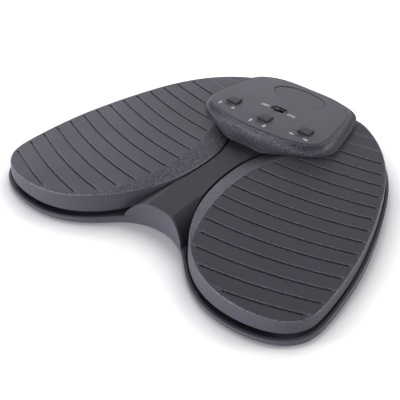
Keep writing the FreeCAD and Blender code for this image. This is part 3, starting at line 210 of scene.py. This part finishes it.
bpy.ops.object.select_all(action="DESELECT")
bpy.ops.mesh.primitive_plane_add(size=FLOOR_SPAN, location=(0, 0, 0))
floor = bpy.context.object
floor.name = "studio_floor"
paper = bpy.data.materials.new("white_paper")
paper.use_nodes = True
tree = paper.node_tree
tree.nodes.clear()
output = tree.nodes.new("ShaderNodeOutputMaterial")
adder = tree.nodes.new("ShaderNodeAddShader")
matte = tree.nodes.new("ShaderNodeBsdfDiffuse")
matte.inputs["Color"].default_value = (PAPER_GREY, PAPER_GREY, PAPER_GREY, 1.0)
glow = tree.nodes.new("ShaderNodeEmission")
openness = tree.nodes.new("ShaderNodeAmbientOcclusion")
openness.samples = SHADOW_SAMPLES
openness.inputs["Distance"].default_value = SHADOW_REACH
fade = add_range(tree, openness.outputs["AO"], *PAPER_GLOW, *OPEN_SKY)
level = add_math(tree, "MULTIPLY", add_seen_mask(tree), fade)
tree.links.new(level, glow.inputs["Strength"])
tree.links.new(matte.outputs[0], adder.inputs[0])
tree.links.new(glow.outputs[0], adder.inputs[1])
tree.links.new(adder.outputs[0], output.inputs["Surface"])
floor.data.materials.append(paper)
print("floor", FLOOR_SPAN, "m square")

# %% [markdown]
# ## Lamps
# Satin plastic shows two kinds of light. The walls scatter the light that falls
# on them, so the windows low in front make them brighter than the treads. The
# treads mirror, softly, whatever stands behind the switch. The left tread leans
# to the left and the right one to the right, so a lamp that stands low at the
# back on the left gives a pale sheen to the left tread alone. One big lamp would
# light all of them alike, so there are nine soft ones in a ring. Each is given by
# its angle round the switch, counted from the right side, and by its angle above
# the floor, then its span in metres, its power in watts and its colour.

# %% Lamps
RING_RADIUS = 1.7
LAMPS = [
    ("sheen_lamp", 150, 22, 0.6, 6.0, (0.89, 0.84, 1.0)),
    ("console_lamp", 120, 15, 0.8, 4.6, (0.89, 0.86, 1.0)),
    ("edge_lamp", 196, 24, 0.4, 2.0, (0.94, 0.91, 1.0)),
    ("left_window", 236, 9, 0.5, 17.0, (0.94, 0.90, 1.0)),
    ("front_window", 270, 9, 0.5, 12.0, (0.98, 0.96, 1.0)),
    ("right_window", 330, 9, 0.5, 3.0, (1.0, 0.98, 0.98)),
    ("ridge_lamp", 38, 17, 0.5, 14.0, (1.0, 0.98, 1.0)),
    ("upper_lamp", 322, 50, 0.4, 1.2, (1.0, 0.98, 1.0)),
    ("band_lamp", 92, 54, 0.3, 0.8, (1.0, 0.98, 1.0)),
]


def ring_lamp(name, angle, height, span, watts, colour):
    """A square soft lamp that points at the switch, from two angles in degrees."""
    turn = math.radians(angle)
    rise = math.radians(height)
    level = math.cos(rise)
    direction = Vector((math.cos(turn) * level, math.sin(turn) * level, math.sin(rise)))
    place = direction * RING_RADIUS
    bpy.ops.object.select_all(action="DESELECT")
    bpy.ops.object.light_add(type="AREA", location=place)
    lamp = bpy.context.object
    lamp.name = name
    lamp.data.size = span
    lamp.data.energy = watts
    lamp.data.color = colour
    lamp.rotation_euler = (-place).to_track_quat("-Z", "Y").to_euler()


for lamp_row in LAMPS:
    ring_lamp(*lamp_row)

# %% [markdown]
# ## Patterns without pictures
# A finish could be painted on an image and wrapped round each piece. Noise needs
# neither the painting nor the wrapping. It reads the object's own coordinates,
# which are in metres here, so one over a feature's size is the noise's scale, and
# the pattern stays on the piece when the piece moves. A ramp then turns the noise
# into a colour. Scuffed plastic mirrors the pale studio only weakly, which is why
# every finish starts with a low specular level.

# %% Start of a finish
SPECULAR_LEVEL = 0.20


def new_material(name):
    """An empty material, with its node tree, its shader and the object's coordinates."""
    material = bpy.data.materials.new(name)
    material.use_nodes = True
    tree = material.node_tree
    shader = tree.nodes["Principled BSDF"]
    shader.inputs["Specular IOR Level"].default_value = SPECULAR_LEVEL
    place = tree.nodes.new("ShaderNodeTexCoord")
    return material, tree, shader, place.outputs["Object"]


def add_noise(tree, place, size, detail=2.0, roughness=0.5):
    """A noise whose features are about one size across."""
    noise = tree.nodes.new("ShaderNodeTexNoise")
    noise.inputs["Scale"].default_value = 1.0 / size
    noise.inputs["Detail"].default_value = detail
    noise.inputs["Roughness"].default_value = roughness
    tree.links.new(place, noise.inputs["Vector"])
    return noise.outputs["Fac"]


def add_ramp(tree, driver, first, last, start=0.3, end=0.7):
    """A colour that goes from first to last as the driver goes from start to end."""
    ramp = tree.nodes.new("ShaderNodeValToRGB")
    ramp.color_ramp.elements[0].position = start
    ramp.color_ramp.elements[1].position = end
    ramp.color_ramp.elements[0].color = (*first, 1.0)
    ramp.color_ramp.elements[1].color = (*last, 1.0)
    tree.links.new(driver, ramp.inputs["Fac"])
    return ramp.outputs["Color"]


print("specular level", SPECULAR_LEVEL)

# %% [markdown]
# ## Plain moulded plastic
# Moulded plastic isn't one flat colour. The mould is etched, so the surface has
# a fine grain that breaks up reflections, and over a few centimetres the tone and
# the gloss drift a little. Real grain is far too fine to model, so a fine noise
# drives a bump of a real depth, and a broad noise drives tone and gloss.

# %% Plastic
GRAIN_ROUGHNESS = 0.6
DRIFT_DETAIL = 3.0
DRIFT_PATCH = 25 * MM


def scaled(colour, factor):
    """A colour made darker or paler."""
    return tuple(channel * factor for channel in colour)


def add_drift(tree, driver, colour, drift):
    """A tone that drifts round one colour, darker and paler by the same share."""
    return add_ramp(tree, driver, scaled(colour, 1 - drift), scaled(colour, 1 + drift))


def add_bump(tree, height, depth):
    """A bump of a real depth in metres."""
    bump = tree.nodes.new("ShaderNodeBump")
    bump.inputs["Distance"].default_value = depth
    tree.links.new(height, bump.inputs["Height"])
    return bump


def fill_shader(tree, shader, tone, gloss, bump=None):
    """Lead a tone, a gloss and perhaps a bump to the shader."""
    tree.links.new(tone, shader.inputs["Base Color"])
    tree.links.new(gloss, shader.inputs["Roughness"])
    if bump:
        tree.links.new(bump.outputs["Normal"], shader.inputs["Normal"])


def plastic(name, colour, grain, depth, rough, drift=0.08, patch=DRIFT_PATCH):
    """Moulded plastic: a fine grain as bump, and a slow drift of tone and gloss."""
    material, tree, shader, place = new_material(name)
    broad = add_noise(tree, place, patch, detail=DRIFT_DETAIL)
    fine = add_noise(tree, place, grain, roughness=GRAIN_ROUGHNESS)
    tone = add_drift(tree, broad, colour, drift)
    fill_shader(tree, shader, tone, add_range(tree, broad, *rough), add_bump(tree, fine, depth))
    return material


def dress(material, *names):
    """Give CAD nodes a finish in place of their plain one."""
    for name in names:
        mesh = NODES[name].data
        mesh.materials.clear()
        mesh.materials.append(material)
    print(material.name, "on", ", ".join(names))


print("tone and gloss drift in patches of", round(DRIFT_PATCH / MM), "mm")

# %% [markdown]
# ## The spine and the tray
# The treads, the tray, the spine and the console are all one dark, slightly
# violet grey. The spine lies deep between the treads, so its colour is painted
# darker, as painted shade, and its grain is the finest. The tray has a little
# more grain and catches more light, so its colour is painted paler, as painted
# light. Both are even all over, so the plain plastic is enough.

# %% Spine and tray
# Painted shade and light: the spine's grey is painted darker and the tray's paler than the
# plastic's own.
SPINE_SHADED_GREY = (0.042, 0.042, 0.047)
TRAY_LIT_GREY = (0.096, 0.091, 0.112)

spine_plastic = plastic("spine_plastic", SPINE_SHADED_GREY,
                        grain=0.35 * MM, depth=0.02 * MM, rough=(0.42, 0.50))
tray_plastic = plastic("tray_plastic", TRAY_LIT_GREY,
                       grain=0.5 * MM, depth=0.04 * MM, rough=(0.45, 0.55))
dress(spine_plastic, "spine_housing")
dress(tray_plastic, "base_tray", "battery_door")

# %% [markdown]
# ## Telling level, leaning and upright faces apart
# The treads and the console change their finish where the surface leans. Each
# zone could be a material slot of its own, but a slot has a hard edge along the
# mesh's triangles. The height of a face's normal is smoother: one on level
# ground, nought on an upright wall, less than nought underneath. Two ranges
# multiplied give a mask with soft edges for any band of leans. The height never
# leaves the span from minus one to one, so a rise below that span is always
# over, and a fall above it never comes.

# %% Masks from the lean
ALWAYS = (-3.0, -2.0)
NEVER = (2.0, 3.0)


def add_axes(tree, vector):
    """The X, Y and Z of a vector, as three numbers."""
    split = tree.nodes.new("ShaderNodeSeparateXYZ")
    tree.links.new(vector, split.inputs["Vector"])
    return split.outputs


def add_between(tree, rise, fall):
    """One where the height of a face's normal lies between rise and fall."""
    place = tree.nodes.new("ShaderNodeTexCoord")
    height = add_axes(tree, place.outputs["Normal"])["Z"]
    above = add_range(tree, height, 0.0, 1.0, *rise)
    below = add_range(tree, height, 1.0, 0.0, *fall)
    return add_math(tree, "MULTIPLY", above, below)


def add_mix(tree, factor, first, second, kind="RGBA"):
    """A blend of two colours, or of two numbers where kind is FLOAT."""
    mix = tree.nodes.new("ShaderNodeMix")
    mix.data_type = kind
    sockets = [socket for socket in mix.inputs if socket.enabled]
    tree.links.new(factor, sockets[0])
    tree.links.new(first, sockets[1])
    tree.links.new(second, sockets[2])
    return next(socket for socket in mix.outputs if socket.enabled)


print("a rise that is always over:", ALWAYS, "and a fall that never comes:", NEVER)

# %% [markdown]
# ## The painted highlight behind each groove
# The rear lip of each groove catches the light from the front, so it is painted
# pale, as a painted highlight. The grooves are arcs round a point behind the
# switch, at an even pitch, the same on the left as on the right. So a little
# arithmetic on the coordinates tells how far a point lies behind its groove, as a
# share of the pitch, and a narrow band of that share is the lip. It shows only
# where the normal says that the tread is level. A drawn line would have to be laid
# along seventeen arcs on each tread instead.

# %% Groove lips
GROOVE_PITCH = 13.05 * MM
GROOVE_RADIUS = 320 * MM
GROOVE_CENTRE_X = -8.3 * MM
GROOVE_CENTRE_Y = 202.4 * MM
LIP_RISE = (0.005, 0.020)
LIP_FALL = (0.12, 0.19)
LEVEL_RISE = (0.970, 0.990)


def add_groove_lips(tree, place):
    """One along the rear lip of each groove, worked out from the grooves' arcs."""
    axes = add_axes(tree, place)
    sideways = add_math(tree, "ABSOLUTE", axes["X"])
    across = add_math(tree, "SUBTRACT", sideways, GROOVE_CENTRE_X)
    square = add_math(tree, "MULTIPLY", across, across)
    drop = add_math(tree, "SQRT", add_math(tree, "SUBTRACT", GROOVE_RADIUS ** 2, square))
    behind = add_math(tree, "ADD", axes["Y"], drop)
    along = add_math(tree, "SUBTRACT", behind, GROOVE_CENTRE_Y)
    phase = add_math(tree, "FRACT", add_math(tree, "DIVIDE", along, GROOVE_PITCH))
    rising = add_range(tree, phase, 0.0, 1.0, *LIP_RISE)
    falling = add_range(tree, phase, 1.0, 0.0, *LIP_FALL)
    level = add_between(tree, LEVEL_RISE, NEVER)
    return add_math(tree, "MULTIPLY", level, add_math(tree, "MULTIPLY", rising, falling))


print("grooves every", round(GROOVE_PITCH / MM, 2), "mm")

# %% [markdown]
# ## Pebbled plastic
# The treads' smooth bands and the console's flared skirt have a coarse, shiny
# pebble, the level faces a fine even grain, and the rounded edges carry a painted highlight.
# It is all one piece of plastic, so it is one material too: the lean masks mix
# the tones and the gloss, and let the pebble's bump in only where a face leans.
# The stones are one noise that drives tone, gloss and bump together: their
# colour is painted darker in the hollows, as painted shade, and paler on the
# tops, as painted glints. Below, a tone is a factor on the plastic's own colour,
# and a share is the stretch of the noise in which the tone goes from a hollow
# to the top of a stone.

# %% Tones of pebbled plastic
EDGE_RISE = (0.18, 0.45)
EDGE_FALL = (0.82, 0.92)
WALL_FALL = (0.10, 0.40)
LEVEL_DRIFT = 0.06
WALL_DRIFT = 0.03
STONE_SHARE = (0.38, 0.64)
EDGE_HIGHLIGHT_SHARE = (0.36, 0.66)
LIP_SHARE = (0.40, 0.66)
HOLLOW_SHADE = 0.5
STONE_GLINT = 1.7
EDGE_HIGHLIGHT_BASE = 0.3
LIP_HIGHLIGHT_BASE = 0.8


def add_pebbled_tone(tree, colour, broad, stones, leaning, lift, edge_highlight, wall_light):
    """The plastic's tone: level faces, upright faces painted paler, then the pebble, then a
    painted highlight on the rounded edges.
    """
    # Painted shade and glints: the pebble's hollows are painted dark and its tops pale.
    glint_and_shade_tone = add_ramp(tree, stones, scaled(colour, lift * HOLLOW_SHADE),
                          scaled(colour, lift * STONE_GLINT), *STONE_SHARE)
    # Painted highlight: rounded edges, where the normal leans between the edge rise and fall,
    # are painted pale.
    edge_highlight_tone = add_ramp(tree, stones, scaled(colour, edge_highlight * EDGE_HIGHLIGHT_BASE),
                         scaled(colour, edge_highlight), *EDGE_HIGHLIGHT_SHARE)
    level_tone = add_drift(tree, broad, colour, LEVEL_DRIFT)
    # Painted light: upright faces get the colour scaled by the wall factor, painted paler for
    # the lamps low in front.
    lit_wall_tone = add_drift(tree, broad, scaled(colour, wall_light), WALL_DRIFT)
    tone = add_mix(tree, add_between(tree, ALWAYS, WALL_FALL), level_tone, lit_wall_tone)
    tone = add_mix(tree, leaning, tone, glint_and_shade_tone)
    return add_mix(tree, add_between(tree, EDGE_RISE, EDGE_FALL), tone, edge_highlight_tone)


def add_lip_highlights(tree, place, tone, colour, stones, lip):
    """The same tone with a painted highlight along the grooves' rear lips."""
    # Painted highlight: the rear lip of each groove is painted pale.
    lip_highlight_tone = add_ramp(tree, stones, scaled(colour, LIP_HIGHLIGHT_BASE),
                        scaled(colour, lip), *LIP_SHARE)
    return add_mix(tree, add_groove_lips(tree, place), tone, lip_highlight_tone)


print("stones go from", HOLLOW_SHADE, "to", STONE_GLINT, "of their tone")

# %% [markdown]
# ## Grain and pebble in one bump
# Two bumps can be chained: the fine grain goes into the pebble's Normal socket,
# and the lean mask is the pebble's strength. So the grain is everywhere, and the
# pebble fades in over it without an edge.

# %% Pebbled plastic
LEVEL_GRAIN = 0.5 * MM
LEVEL_DEPTH = 0.05 * MM
PEBBLE_DETAIL = 3.0
PEBBLE_ROUGHNESS = 0.65
PEBBLE_DEPTH = 0.30 * MM
PEBBLE_GLOSS = (0.52, 0.20)


def pebbled(name, colour, lean, pebble, lift, edge_highlight, rough, wall_light=1.0, lip=None):
    """Moulded plastic: fine on level faces, pebbled where it leans, with a painted highlight on
    its edges.
    """
    material, tree, shader, place = new_material(name)
    broad = add_noise(tree, place, DRIFT_PATCH, detail=DRIFT_DETAIL)
    fine = add_noise(tree, place, LEVEL_GRAIN, roughness=GRAIN_ROUGHNESS)
    stones = add_noise(tree, place, pebble, PEBBLE_DETAIL, PEBBLE_ROUGHNESS)
    leaning = add_between(tree, *lean)
    tone = add_pebbled_tone(tree, colour, broad, stones, leaning, lift, edge_highlight, wall_light)
    if lip:
        tone = add_lip_highlights(tree, place, tone, colour, stones, lip)
    level_gloss = add_range(tree, broad, *rough)
    stone_gloss = add_range(tree, stones, *PEBBLE_GLOSS)
    gloss = add_mix(tree, leaning, level_gloss, stone_gloss, kind="FLOAT")
    even = add_bump(tree, fine, LEVEL_DEPTH)
    rolling = add_bump(tree, stones, PEBBLE_DEPTH)
    tree.links.new(leaning, rolling.inputs["Strength"])
    tree.links.new(even.outputs["Normal"], rolling.inputs["Normal"])
    fill_shader(tree, shader, tone, gloss, rolling)
    return material


print("pebble depth", round(PEBBLE_DEPTH / MM, 2), "mm")

# %% [markdown]
# ## The treads
# The two treads are one moulding and its mirror image, but they don't look alike:
# the left one's band turns away from the lamps, so its pebble is painted paler,
# as painted light. A finish for each side is the simplest way to say so. The
# walls are painted paler than the treads, as painted light, and the painted
# highlight on the lips of the right tread's grooves is the strongest.

# %% Treads
TREAD_GREY = (0.066, 0.064, 0.078)
TREAD_LEAN = ((0.30, 0.50), (0.965, 0.985))
TREAD_PEBBLE = 1.1 * MM
TREAD_ROUGH = (0.44, 0.52)
TREAD_WALL_LIGHT = 1.3

# Painted light: lift=1.8 paints the left band's pebble paler than the right's, for the lamp
# light it misses.
left_tread = pebbled("left_tread_plastic", TREAD_GREY, TREAD_LEAN, TREAD_PEBBLE,
                     lift=1.8, edge_highlight=3.4, rough=TREAD_ROUGH, wall_light=TREAD_WALL_LIGHT, lip=2.6)
right_tread = pebbled("right_tread_plastic", TREAD_GREY, TREAD_LEAN, TREAD_PEBBLE,
                      lift=1.0, edge_highlight=3.2, rough=TREAD_ROUGH, wall_light=TREAD_WALL_LIGHT, lip=3.3)
dress(left_tread, "left_pedal")
dress(right_tread, "right_pedal")

# %% [markdown]
# ## The console
# The console's top is level and fine, and its skirt flares out with a coarse
# pebble that goes right down the upright part. Its lean mask therefore starts
# just below nought, and its painted edge highlight is a weak one.

# %% Console
CONSOLE_GREY = (0.068, 0.065, 0.080)
CONSOLE_LEAN = ((-0.3, -0.1), (0.90, 0.985))

console_plastic = pebbled("console_plastic", CONSOLE_GREY, CONSOLE_LEAN, 1.2 * MM,
                          lift=0.7, edge_highlight=1.6, rough=(0.40, 0.46))
dress(console_plastic, "console_cover")

# %% [markdown]
# ## Buttons, knob and windows
# The small pieces on the console catch the eye. The caps are darker than the
# shell round them, the slide's knob is almost black, and the indicator windows
# are smoked, so that they only show when they are lit. Fingers polish them, so
# their gloss is higher than the shell's.

# %% Buttons, knob and windows
button_plastic = plastic("button_plastic", (0.048, 0.047, 0.056),
                         grain=0.6 * MM, depth=0.06 * MM, rough=(0.28, 0.40))
knob_plastic = plastic("knob_plastic", (0.040, 0.039, 0.045),
                       grain=0.6 * MM, depth=0.06 * MM, rough=(0.22, 0.36))
window_plastic = plastic("window_plastic", (0.085, 0.078, 0.082),
                         grain=0.25 * MM, depth=0.01 * MM, rough=(0.16, 0.24))
dress(button_plastic, "left_button_cap", "middle_button_cap", "right_button_cap")
dress(knob_plastic, "power_knob")
dress(window_plastic, "light_windows")

# %% [markdown]
# ## The oval plate
# A smooth oval plate lies in a shallow recess behind the slide. A fine dark line
# of painted shade runs round its rim, where shadow falls in the gap. Ambient
# Occlusion could find that gap, but it has to send out many rays for it. The
# plate's own box is enough: in shares of its half length and half width, every
# point of the rim lies at a distance of one.

# %% Oval plate
RIM_SHADE = 0.35
RIM_SHARE = (0.86, 0.97)


def darken_rim(material, node):
    """Shade the rim of an oval piece."""
    tree = material.node_tree
    lower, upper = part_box(node)
    middle = (lower + upper) / 2
    half = (upper - lower) / 2
    axes = add_axes(tree, tree.nodes.new("ShaderNodeTexCoord").outputs["Object"])
    squares = []
    for axis, centre, reach in (("X", middle.x, half.x), ("Y", middle.y, half.y)):
        share = add_math(tree, "DIVIDE", add_math(tree, "SUBTRACT", axes[axis], centre), reach)
        squares.append(add_math(tree, "MULTIPLY", share, share))
    spread = add_math(tree, "ADD", *squares)
    shade = add_ramp(tree, spread, WHITE, scaled(WHITE, RIM_SHADE), *RIM_SHARE)
    tint = tree.nodes.new("ShaderNodeMix")
    tint.data_type = "RGBA"
    tint.blend_type = "MULTIPLY"
    factor, plain, shaded = [socket for socket in tint.inputs if socket.enabled]
    factor.default_value = 1.0
    base = tree.nodes["Principled BSDF"].inputs["Base Color"]
    tree.links.new(base.links[0].from_socket, plain)
    tree.links.new(shade, shaded)
    tree.links.new(next(socket for socket in tint.outputs if socket.enabled), base)


plate_plastic = plastic("plate_plastic", CONSOLE_GREY,
                        grain=0.4 * MM, depth=0.015 * MM, rough=(0.42, 0.48))
# Painted shade: the plate's rim is darkened where the recess throws its shadow.
darken_rim(plate_plastic, "oval_plate")
dress(plate_plastic, "oval_plate")

# %% [markdown]
# ## Rubber
# The feet and the stop pads are soft rubber. Rubber is very rough and has a fine
# powdery mottling, which the plain plastic gives too, with a high roughness and
# a small patch for the drift.

# %% Rubber
rubber = plastic("foot_rubber", (0.022, 0.022, 0.023),
                 grain=0.5 * MM, depth=0.06 * MM, rough=(0.72, 0.85), patch=6 * MM)
dress(rubber, "rubber_feet", "stop_pads")

# %% [markdown]
# ## Steel
# Pins, springs and screws are steel, and the contacts are plated with nickel.
# Metal has next to no colour of its own beneath its mirror, so Metallic is one
# and the tone is the mirror's. What makes it look real is uneven gloss: specks
# on a spring, and lines along a ground pin. The lines are the same noise,
# stretched along X by a Mapping node.

# %% Steel
SPECK_DETAIL = 3.0
DULL_STEEL = 0.88


def metal(name, colour, rough, speck, stretch=(1.0, 1.0, 1.0)):
    """Plated or ground steel, with a pattern of specks or lines in its gloss."""
    material, tree, shader, place = new_material(name)
    mapping = tree.nodes.new("ShaderNodeMapping")
    mapping.inputs["Scale"].default_value = stretch
    tree.links.new(place, mapping.inputs["Vector"])
    noise = add_noise(tree, mapping.outputs["Vector"], speck, detail=SPECK_DETAIL)
    tone = add_ramp(tree, noise, scaled(colour, DULL_STEEL), colour)
    fill_shader(tree, shader, tone, add_range(tree, noise, *rough))
    shader.inputs["Metallic"].default_value = 1.0
    return material


pin_steel = metal("pin_steel", (0.62, 0.62, 0.64), (0.18, 0.34), 1.0 * MM, (0.1, 1.0, 1.0))
screw_steel = metal("screw_steel", (0.42, 0.42, 0.43), (0.28, 0.45), 0.5 * MM)
spring_steel = metal("spring_steel", (0.55, 0.55, 0.57), (0.22, 0.36), 0.6 * MM)
nickel = metal("nickel_plate", (0.72, 0.70, 0.66), (0.14, 0.28), 1.5 * MM)
dress(pin_steel, "left_hinge_pin", "right_hinge_pin")
dress(screw_steel, "cover_screws")
dress(spring_steel, "left_return_spring", "right_return_spring")
dress(nickel, "cell_contacts", "power_jack")

# %% [markdown]
# ## Copies of the return springs
# When a pedal goes down, the lower end of its return spring stays on the tray and
# the upper end follows the pedal, and the coils between share the difference.
# The last coil at each end lies flat on its seat. Each solid spring gets a copy,
# which is welded, because a imported mesh is made of loose triangles, and the
# solid one is hidden.

# %% Return springs
WELD = 0.001 * MM


def squeezed_spring(side):
    """A welded copy of a return spring, in place of the hidden solid one."""
    source = NODES[side + "_return_spring"]
    spring = bpy.data.objects.new(side + "_return_coil", source.data.copy())
    bpy.context.collection.objects.link(spring)
    bpy.ops.object.select_all(action="DESELECT")
    spring.select_set(True)
    bpy.context.view_layer.objects.active = spring
    bpy.ops.object.mode_set(mode="EDIT")
    bpy.ops.mesh.select_all(action="SELECT")
    bpy.ops.mesh.remove_doubles(threshold=WELD)
    bpy.ops.object.mode_set(mode="OBJECT")
    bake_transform(spring)
    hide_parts(side + "_return_spring")
    print(spring.name, len(spring.data.vertices), "vertices")


squeezed_spring("left")
squeezed_spring("right")

# %% [markdown]
# ## Boards, switches and lamps
# Inside, the boards are green lacquer over a weave, the switches are black
# plastic, their stems natural nylon, and the indicator lamps a clear yellow
# resin. All of these are even materials with a grain, so the plain plastic
# serves again, with smaller patches because the pieces are small.

# %% Boards, switches and lamps
board_lacquer = plastic("board_lacquer", (0.012, 0.085, 0.040), grain=0.7 * MM,
                        depth=0.03 * MM, rough=(0.22, 0.32), patch=4 * MM)
switch_plastic = plastic("switch_plastic", (0.025, 0.025, 0.027), grain=0.3 * MM,
                         depth=0.02 * MM, rough=(0.40, 0.52), patch=3 * MM)
stem_plastic = plastic("stem_plastic", (0.42, 0.40, 0.36), grain=0.3 * MM,
                       depth=0.01 * MM, rough=(0.40, 0.52), patch=2 * MM)
lamp_resin = plastic("lamp_resin", (0.80, 0.78, 0.62), grain=0.3 * MM,
                     depth=0.01 * MM, rough=(0.15, 0.25), patch=1 * MM)
dress(board_lacquer, "main_board", "jack_board")
dress(switch_plastic, "button_switches", "power_switch_case",
      "left_pedal_switch", "right_pedal_switch")
dress(stem_plastic, "left_button_stem", "middle_button_stem", "right_button_stem",
      "left_switch_plunger", "right_switch_plunger")
dress(lamp_resin, "indicator_lamps")

# %% [markdown]
# ## Battery cells
# A cell is a steel can in a shrunk film. The film here is a plain grey one, with
# a pale band at the end that has the nub. The two cells lie head to tail. One
# comparison of Y with the band's edge gives the two tones, sharp as print is,
# and a thin clear coat on top makes it film.

# %% Battery cells
BAND_SHARE = 0.28
FILM_GREY = (0.13, 0.14, 0.15)
BAND_GREY = (0.50, 0.51, 0.52)
FILM_SHARE = (0.4, 0.6)
FILM_ROUGH = (0.16, 0.26)
FILM_PATCH = 5 * MM
FILM_COAT = 0.5


def cell_film(name, node, band_at_front):
    """A film-wrapped cell: grey, with a pale band at the end of its nub."""
    material, tree, shader, place = new_material(name)
    lower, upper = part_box(node)
    band = BAND_SHARE * (upper.y - lower.y)
    edge = lower.y + band if band_at_front else upper.y - band
    test = "LESS_THAN" if band_at_front else "GREATER_THAN"
    on_band = add_math(tree, test, add_axes(tree, place)["Y"], edge)
    tone = add_ramp(tree, on_band, FILM_GREY, BAND_GREY, *FILM_SHARE)
    gloss = add_range(tree, add_noise(tree, place, FILM_PATCH), *FILM_ROUGH)
    fill_shader(tree, shader, tone, gloss)
    shader.inputs["Coat Weight"].default_value = FILM_COAT
    return material


dress(cell_film("left_cell_film", "left_cell", band_at_front=False), "left_cell")
dress(cell_film("right_cell_film", "right_cell", band_at_front=True), "right_cell")

# %% [markdown]
# ## Printed marks
# The marks on the console are pad printed: white ink a few hundredths of a
# millimetre thick, a little patchy where it is worn. An image could carry them,
# but a thin mesh stays sharp at any distance. Each mark is made flat at the
# origin, then laid on the console's sloping top by one matrix, which is written
# into its mesh so that the object itself stays at the origin.

# %% Ink and the console's plane
CONSOLE_FRONT = 28.6
CONSOLE_HEIGHT = 35.6
CONSOLE_SLOPE = math.radians(4.8)
INK_THICKNESS = 0.06


def on_console(x, y, lift=0.0):
    """A place on the console's top, from millimetres, as a matrix."""
    height = CONSOLE_HEIGHT - (y - CONSOLE_FRONT) * math.tan(CONSOLE_SLOPE) + lift
    tilt = Matrix.Rotation(-CONSOLE_SLOPE, 4, "X")
    return Matrix.Translation(Vector((x, y, height)) * MM) @ tilt


ink = plastic("white_ink", (0.86, 0.86, 0.88), grain=0.2 * MM, depth=0.01 * MM,
              rough=(0.45, 0.6), drift=0.1, patch=0.5 * MM)


def finish_mark(mark, name, place):
    """Write a mark's place into its mesh, give it ink and let it ride."""
    mark.name = name
    mark.data.name = name
    mark.data.transform(place)
    mark.matrix_world = Matrix.Identity(4)
    mark.data.materials.clear()
    mark.data.materials.append(ink)
    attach(mark, "base")
    print(name, len(mark.data.polygons), "faces")


print("console slope", round(math.degrees(CONSOLE_SLOPE), 1), "degrees")

# %% [markdown]
# ## OFF and ON
# The words stand on both sides of the slide. Letters could be drawn face by
# face, but a text object gives good ones at once. Its outline is swollen a
# little, because printed letters this small are bold, and it is made a mesh
# before its place is applied.

# %% Words beside the slide
LETTER_HEIGHT = 2.9
FONT_SHARE = 1.4
LETTER_SWELL = 0.12
WORD_ROW = 62.6


def printed_word(name, text, x, y):
    """A word in capitals, centred on a place in millimetres."""
    bpy.ops.object.select_all(action="DESELECT")
    bpy.ops.object.text_add(location=(0, 0, 0))
    word = bpy.context.object
    word.data.body = text
    word.data.align_x = "CENTER"
    word.data.align_y = "CENTER"
    word.data.size = LETTER_HEIGHT * FONT_SHARE * MM
    word.data.extrude = INK_THICKNESS / 2 * MM
    word.data.offset = LETTER_SWELL * MM
    bpy.ops.object.convert(target="MESH")
    finish_mark(bpy.context.object, name, on_console(x, y, INK_THICKNESS / 2))


printed_word("word_off", "OFF", -11.8, WORD_ROW)
printed_word("word_on", "ON", 12.2, WORD_ROW)

# %% [markdown]
# ## Arrows
# An arrow stands on each side of every indicator window. It starts as a thin
# slab, the shaft. The face at one end is extruded by next to nothing and made
# wide, which gives the head its shoulders. Then it is extruded by the head's
# length and made narrow, which gives the point. So an arrow is one closed mesh,
# where a slab and a wedge laid on each other would overlap.

# %% One printed arrow
ARROW_LENGTH = 4.4
SHAFT_WIDTH = 1.0
HEAD_WIDTH = 2.8
HEAD_LENGTH = HEAD_WIDTH * 0.8
POINT_SHARE = 0.04
SHOULDER = 0.001
FACES_RIGHT = 0.9


def widen_end(step, share):
    """Extrude the chosen face along X by a step, and scale its width by a share."""
    bpy.ops.mesh.extrude_region_move(TRANSFORM_OT_translate={"value": (step * MM, 0, 0)})
    bpy.ops.transform.resize(value=(1, share, 1))


def printed_arrow(name, turn, x, y):
    """A plain arrow, made from a thin slab whose end face becomes the head."""
    bpy.ops.object.select_all(action="DESELECT")
    bpy.ops.mesh.primitive_cube_add(size=1.0)
    arrow = bpy.context.object
    slab = Vector((ARROW_LENGTH - HEAD_LENGTH, SHAFT_WIDTH, INK_THICKNESS)) * MM
    arrow.data.transform(Matrix.Diagonal((*slab, 1.0)))
    bpy.ops.object.mode_set(mode="EDIT")
    bpy.ops.mesh.select_mode(type="FACE")
    bpy.ops.mesh.select_all(action="DESELECT")
    bpy.ops.object.mode_set(mode="OBJECT")
    for face in arrow.data.polygons:
        face.select = face.normal.x > FACES_RIGHT
    bpy.ops.object.mode_set(mode="EDIT")
    widen_end(SHOULDER, HEAD_WIDTH / SHAFT_WIDTH)
    widen_end(HEAD_LENGTH, POINT_SHARE)
    bpy.ops.object.mode_set(mode="OBJECT")
    arrow.data.transform(Matrix.Translation((-HEAD_LENGTH / 2 * MM, 0, 0)))
    facing = Matrix.Rotation(math.radians(turn), 4, "Z")
    finish_mark(arrow, name, on_console(x, y, INK_THICKNESS / 2) @ facing)


print("arrow", ARROW_LENGTH, "by", HEAD_WIDTH, "mm")

# %% [markdown]
# ## Which way the arrows point
# Beside the left window and the middle one, the arrows point back and forward.
# Beside the right window they point out to both sides. Each row gives a window,
# the arrow's name, its side, and its turn in degrees from pointing right.

# %% Arrows beside the windows
WINDOWS = {"left": (-33.0, 41.6), "middle": (0.0, 36.4), "right": (33.0, 41.6)}
WINDOW_REACH = 6.2
ARROWS = [
    ("left", "outer", -1, 90), ("left", "inner", 1, -90),
    ("middle", "left", -1, 90), ("middle", "right", 1, -90),
    ("right", "inner", -1, 180), ("right", "outer", 1, 0),
]
for window, side_name, side, turn in ARROWS:
    window_x, window_y = WINDOWS[window]
    arrow_x = window_x + side * WINDOW_REACH
    printed_arrow(f"arrow_{window}_{side_name}", turn, arrow_x, window_y)
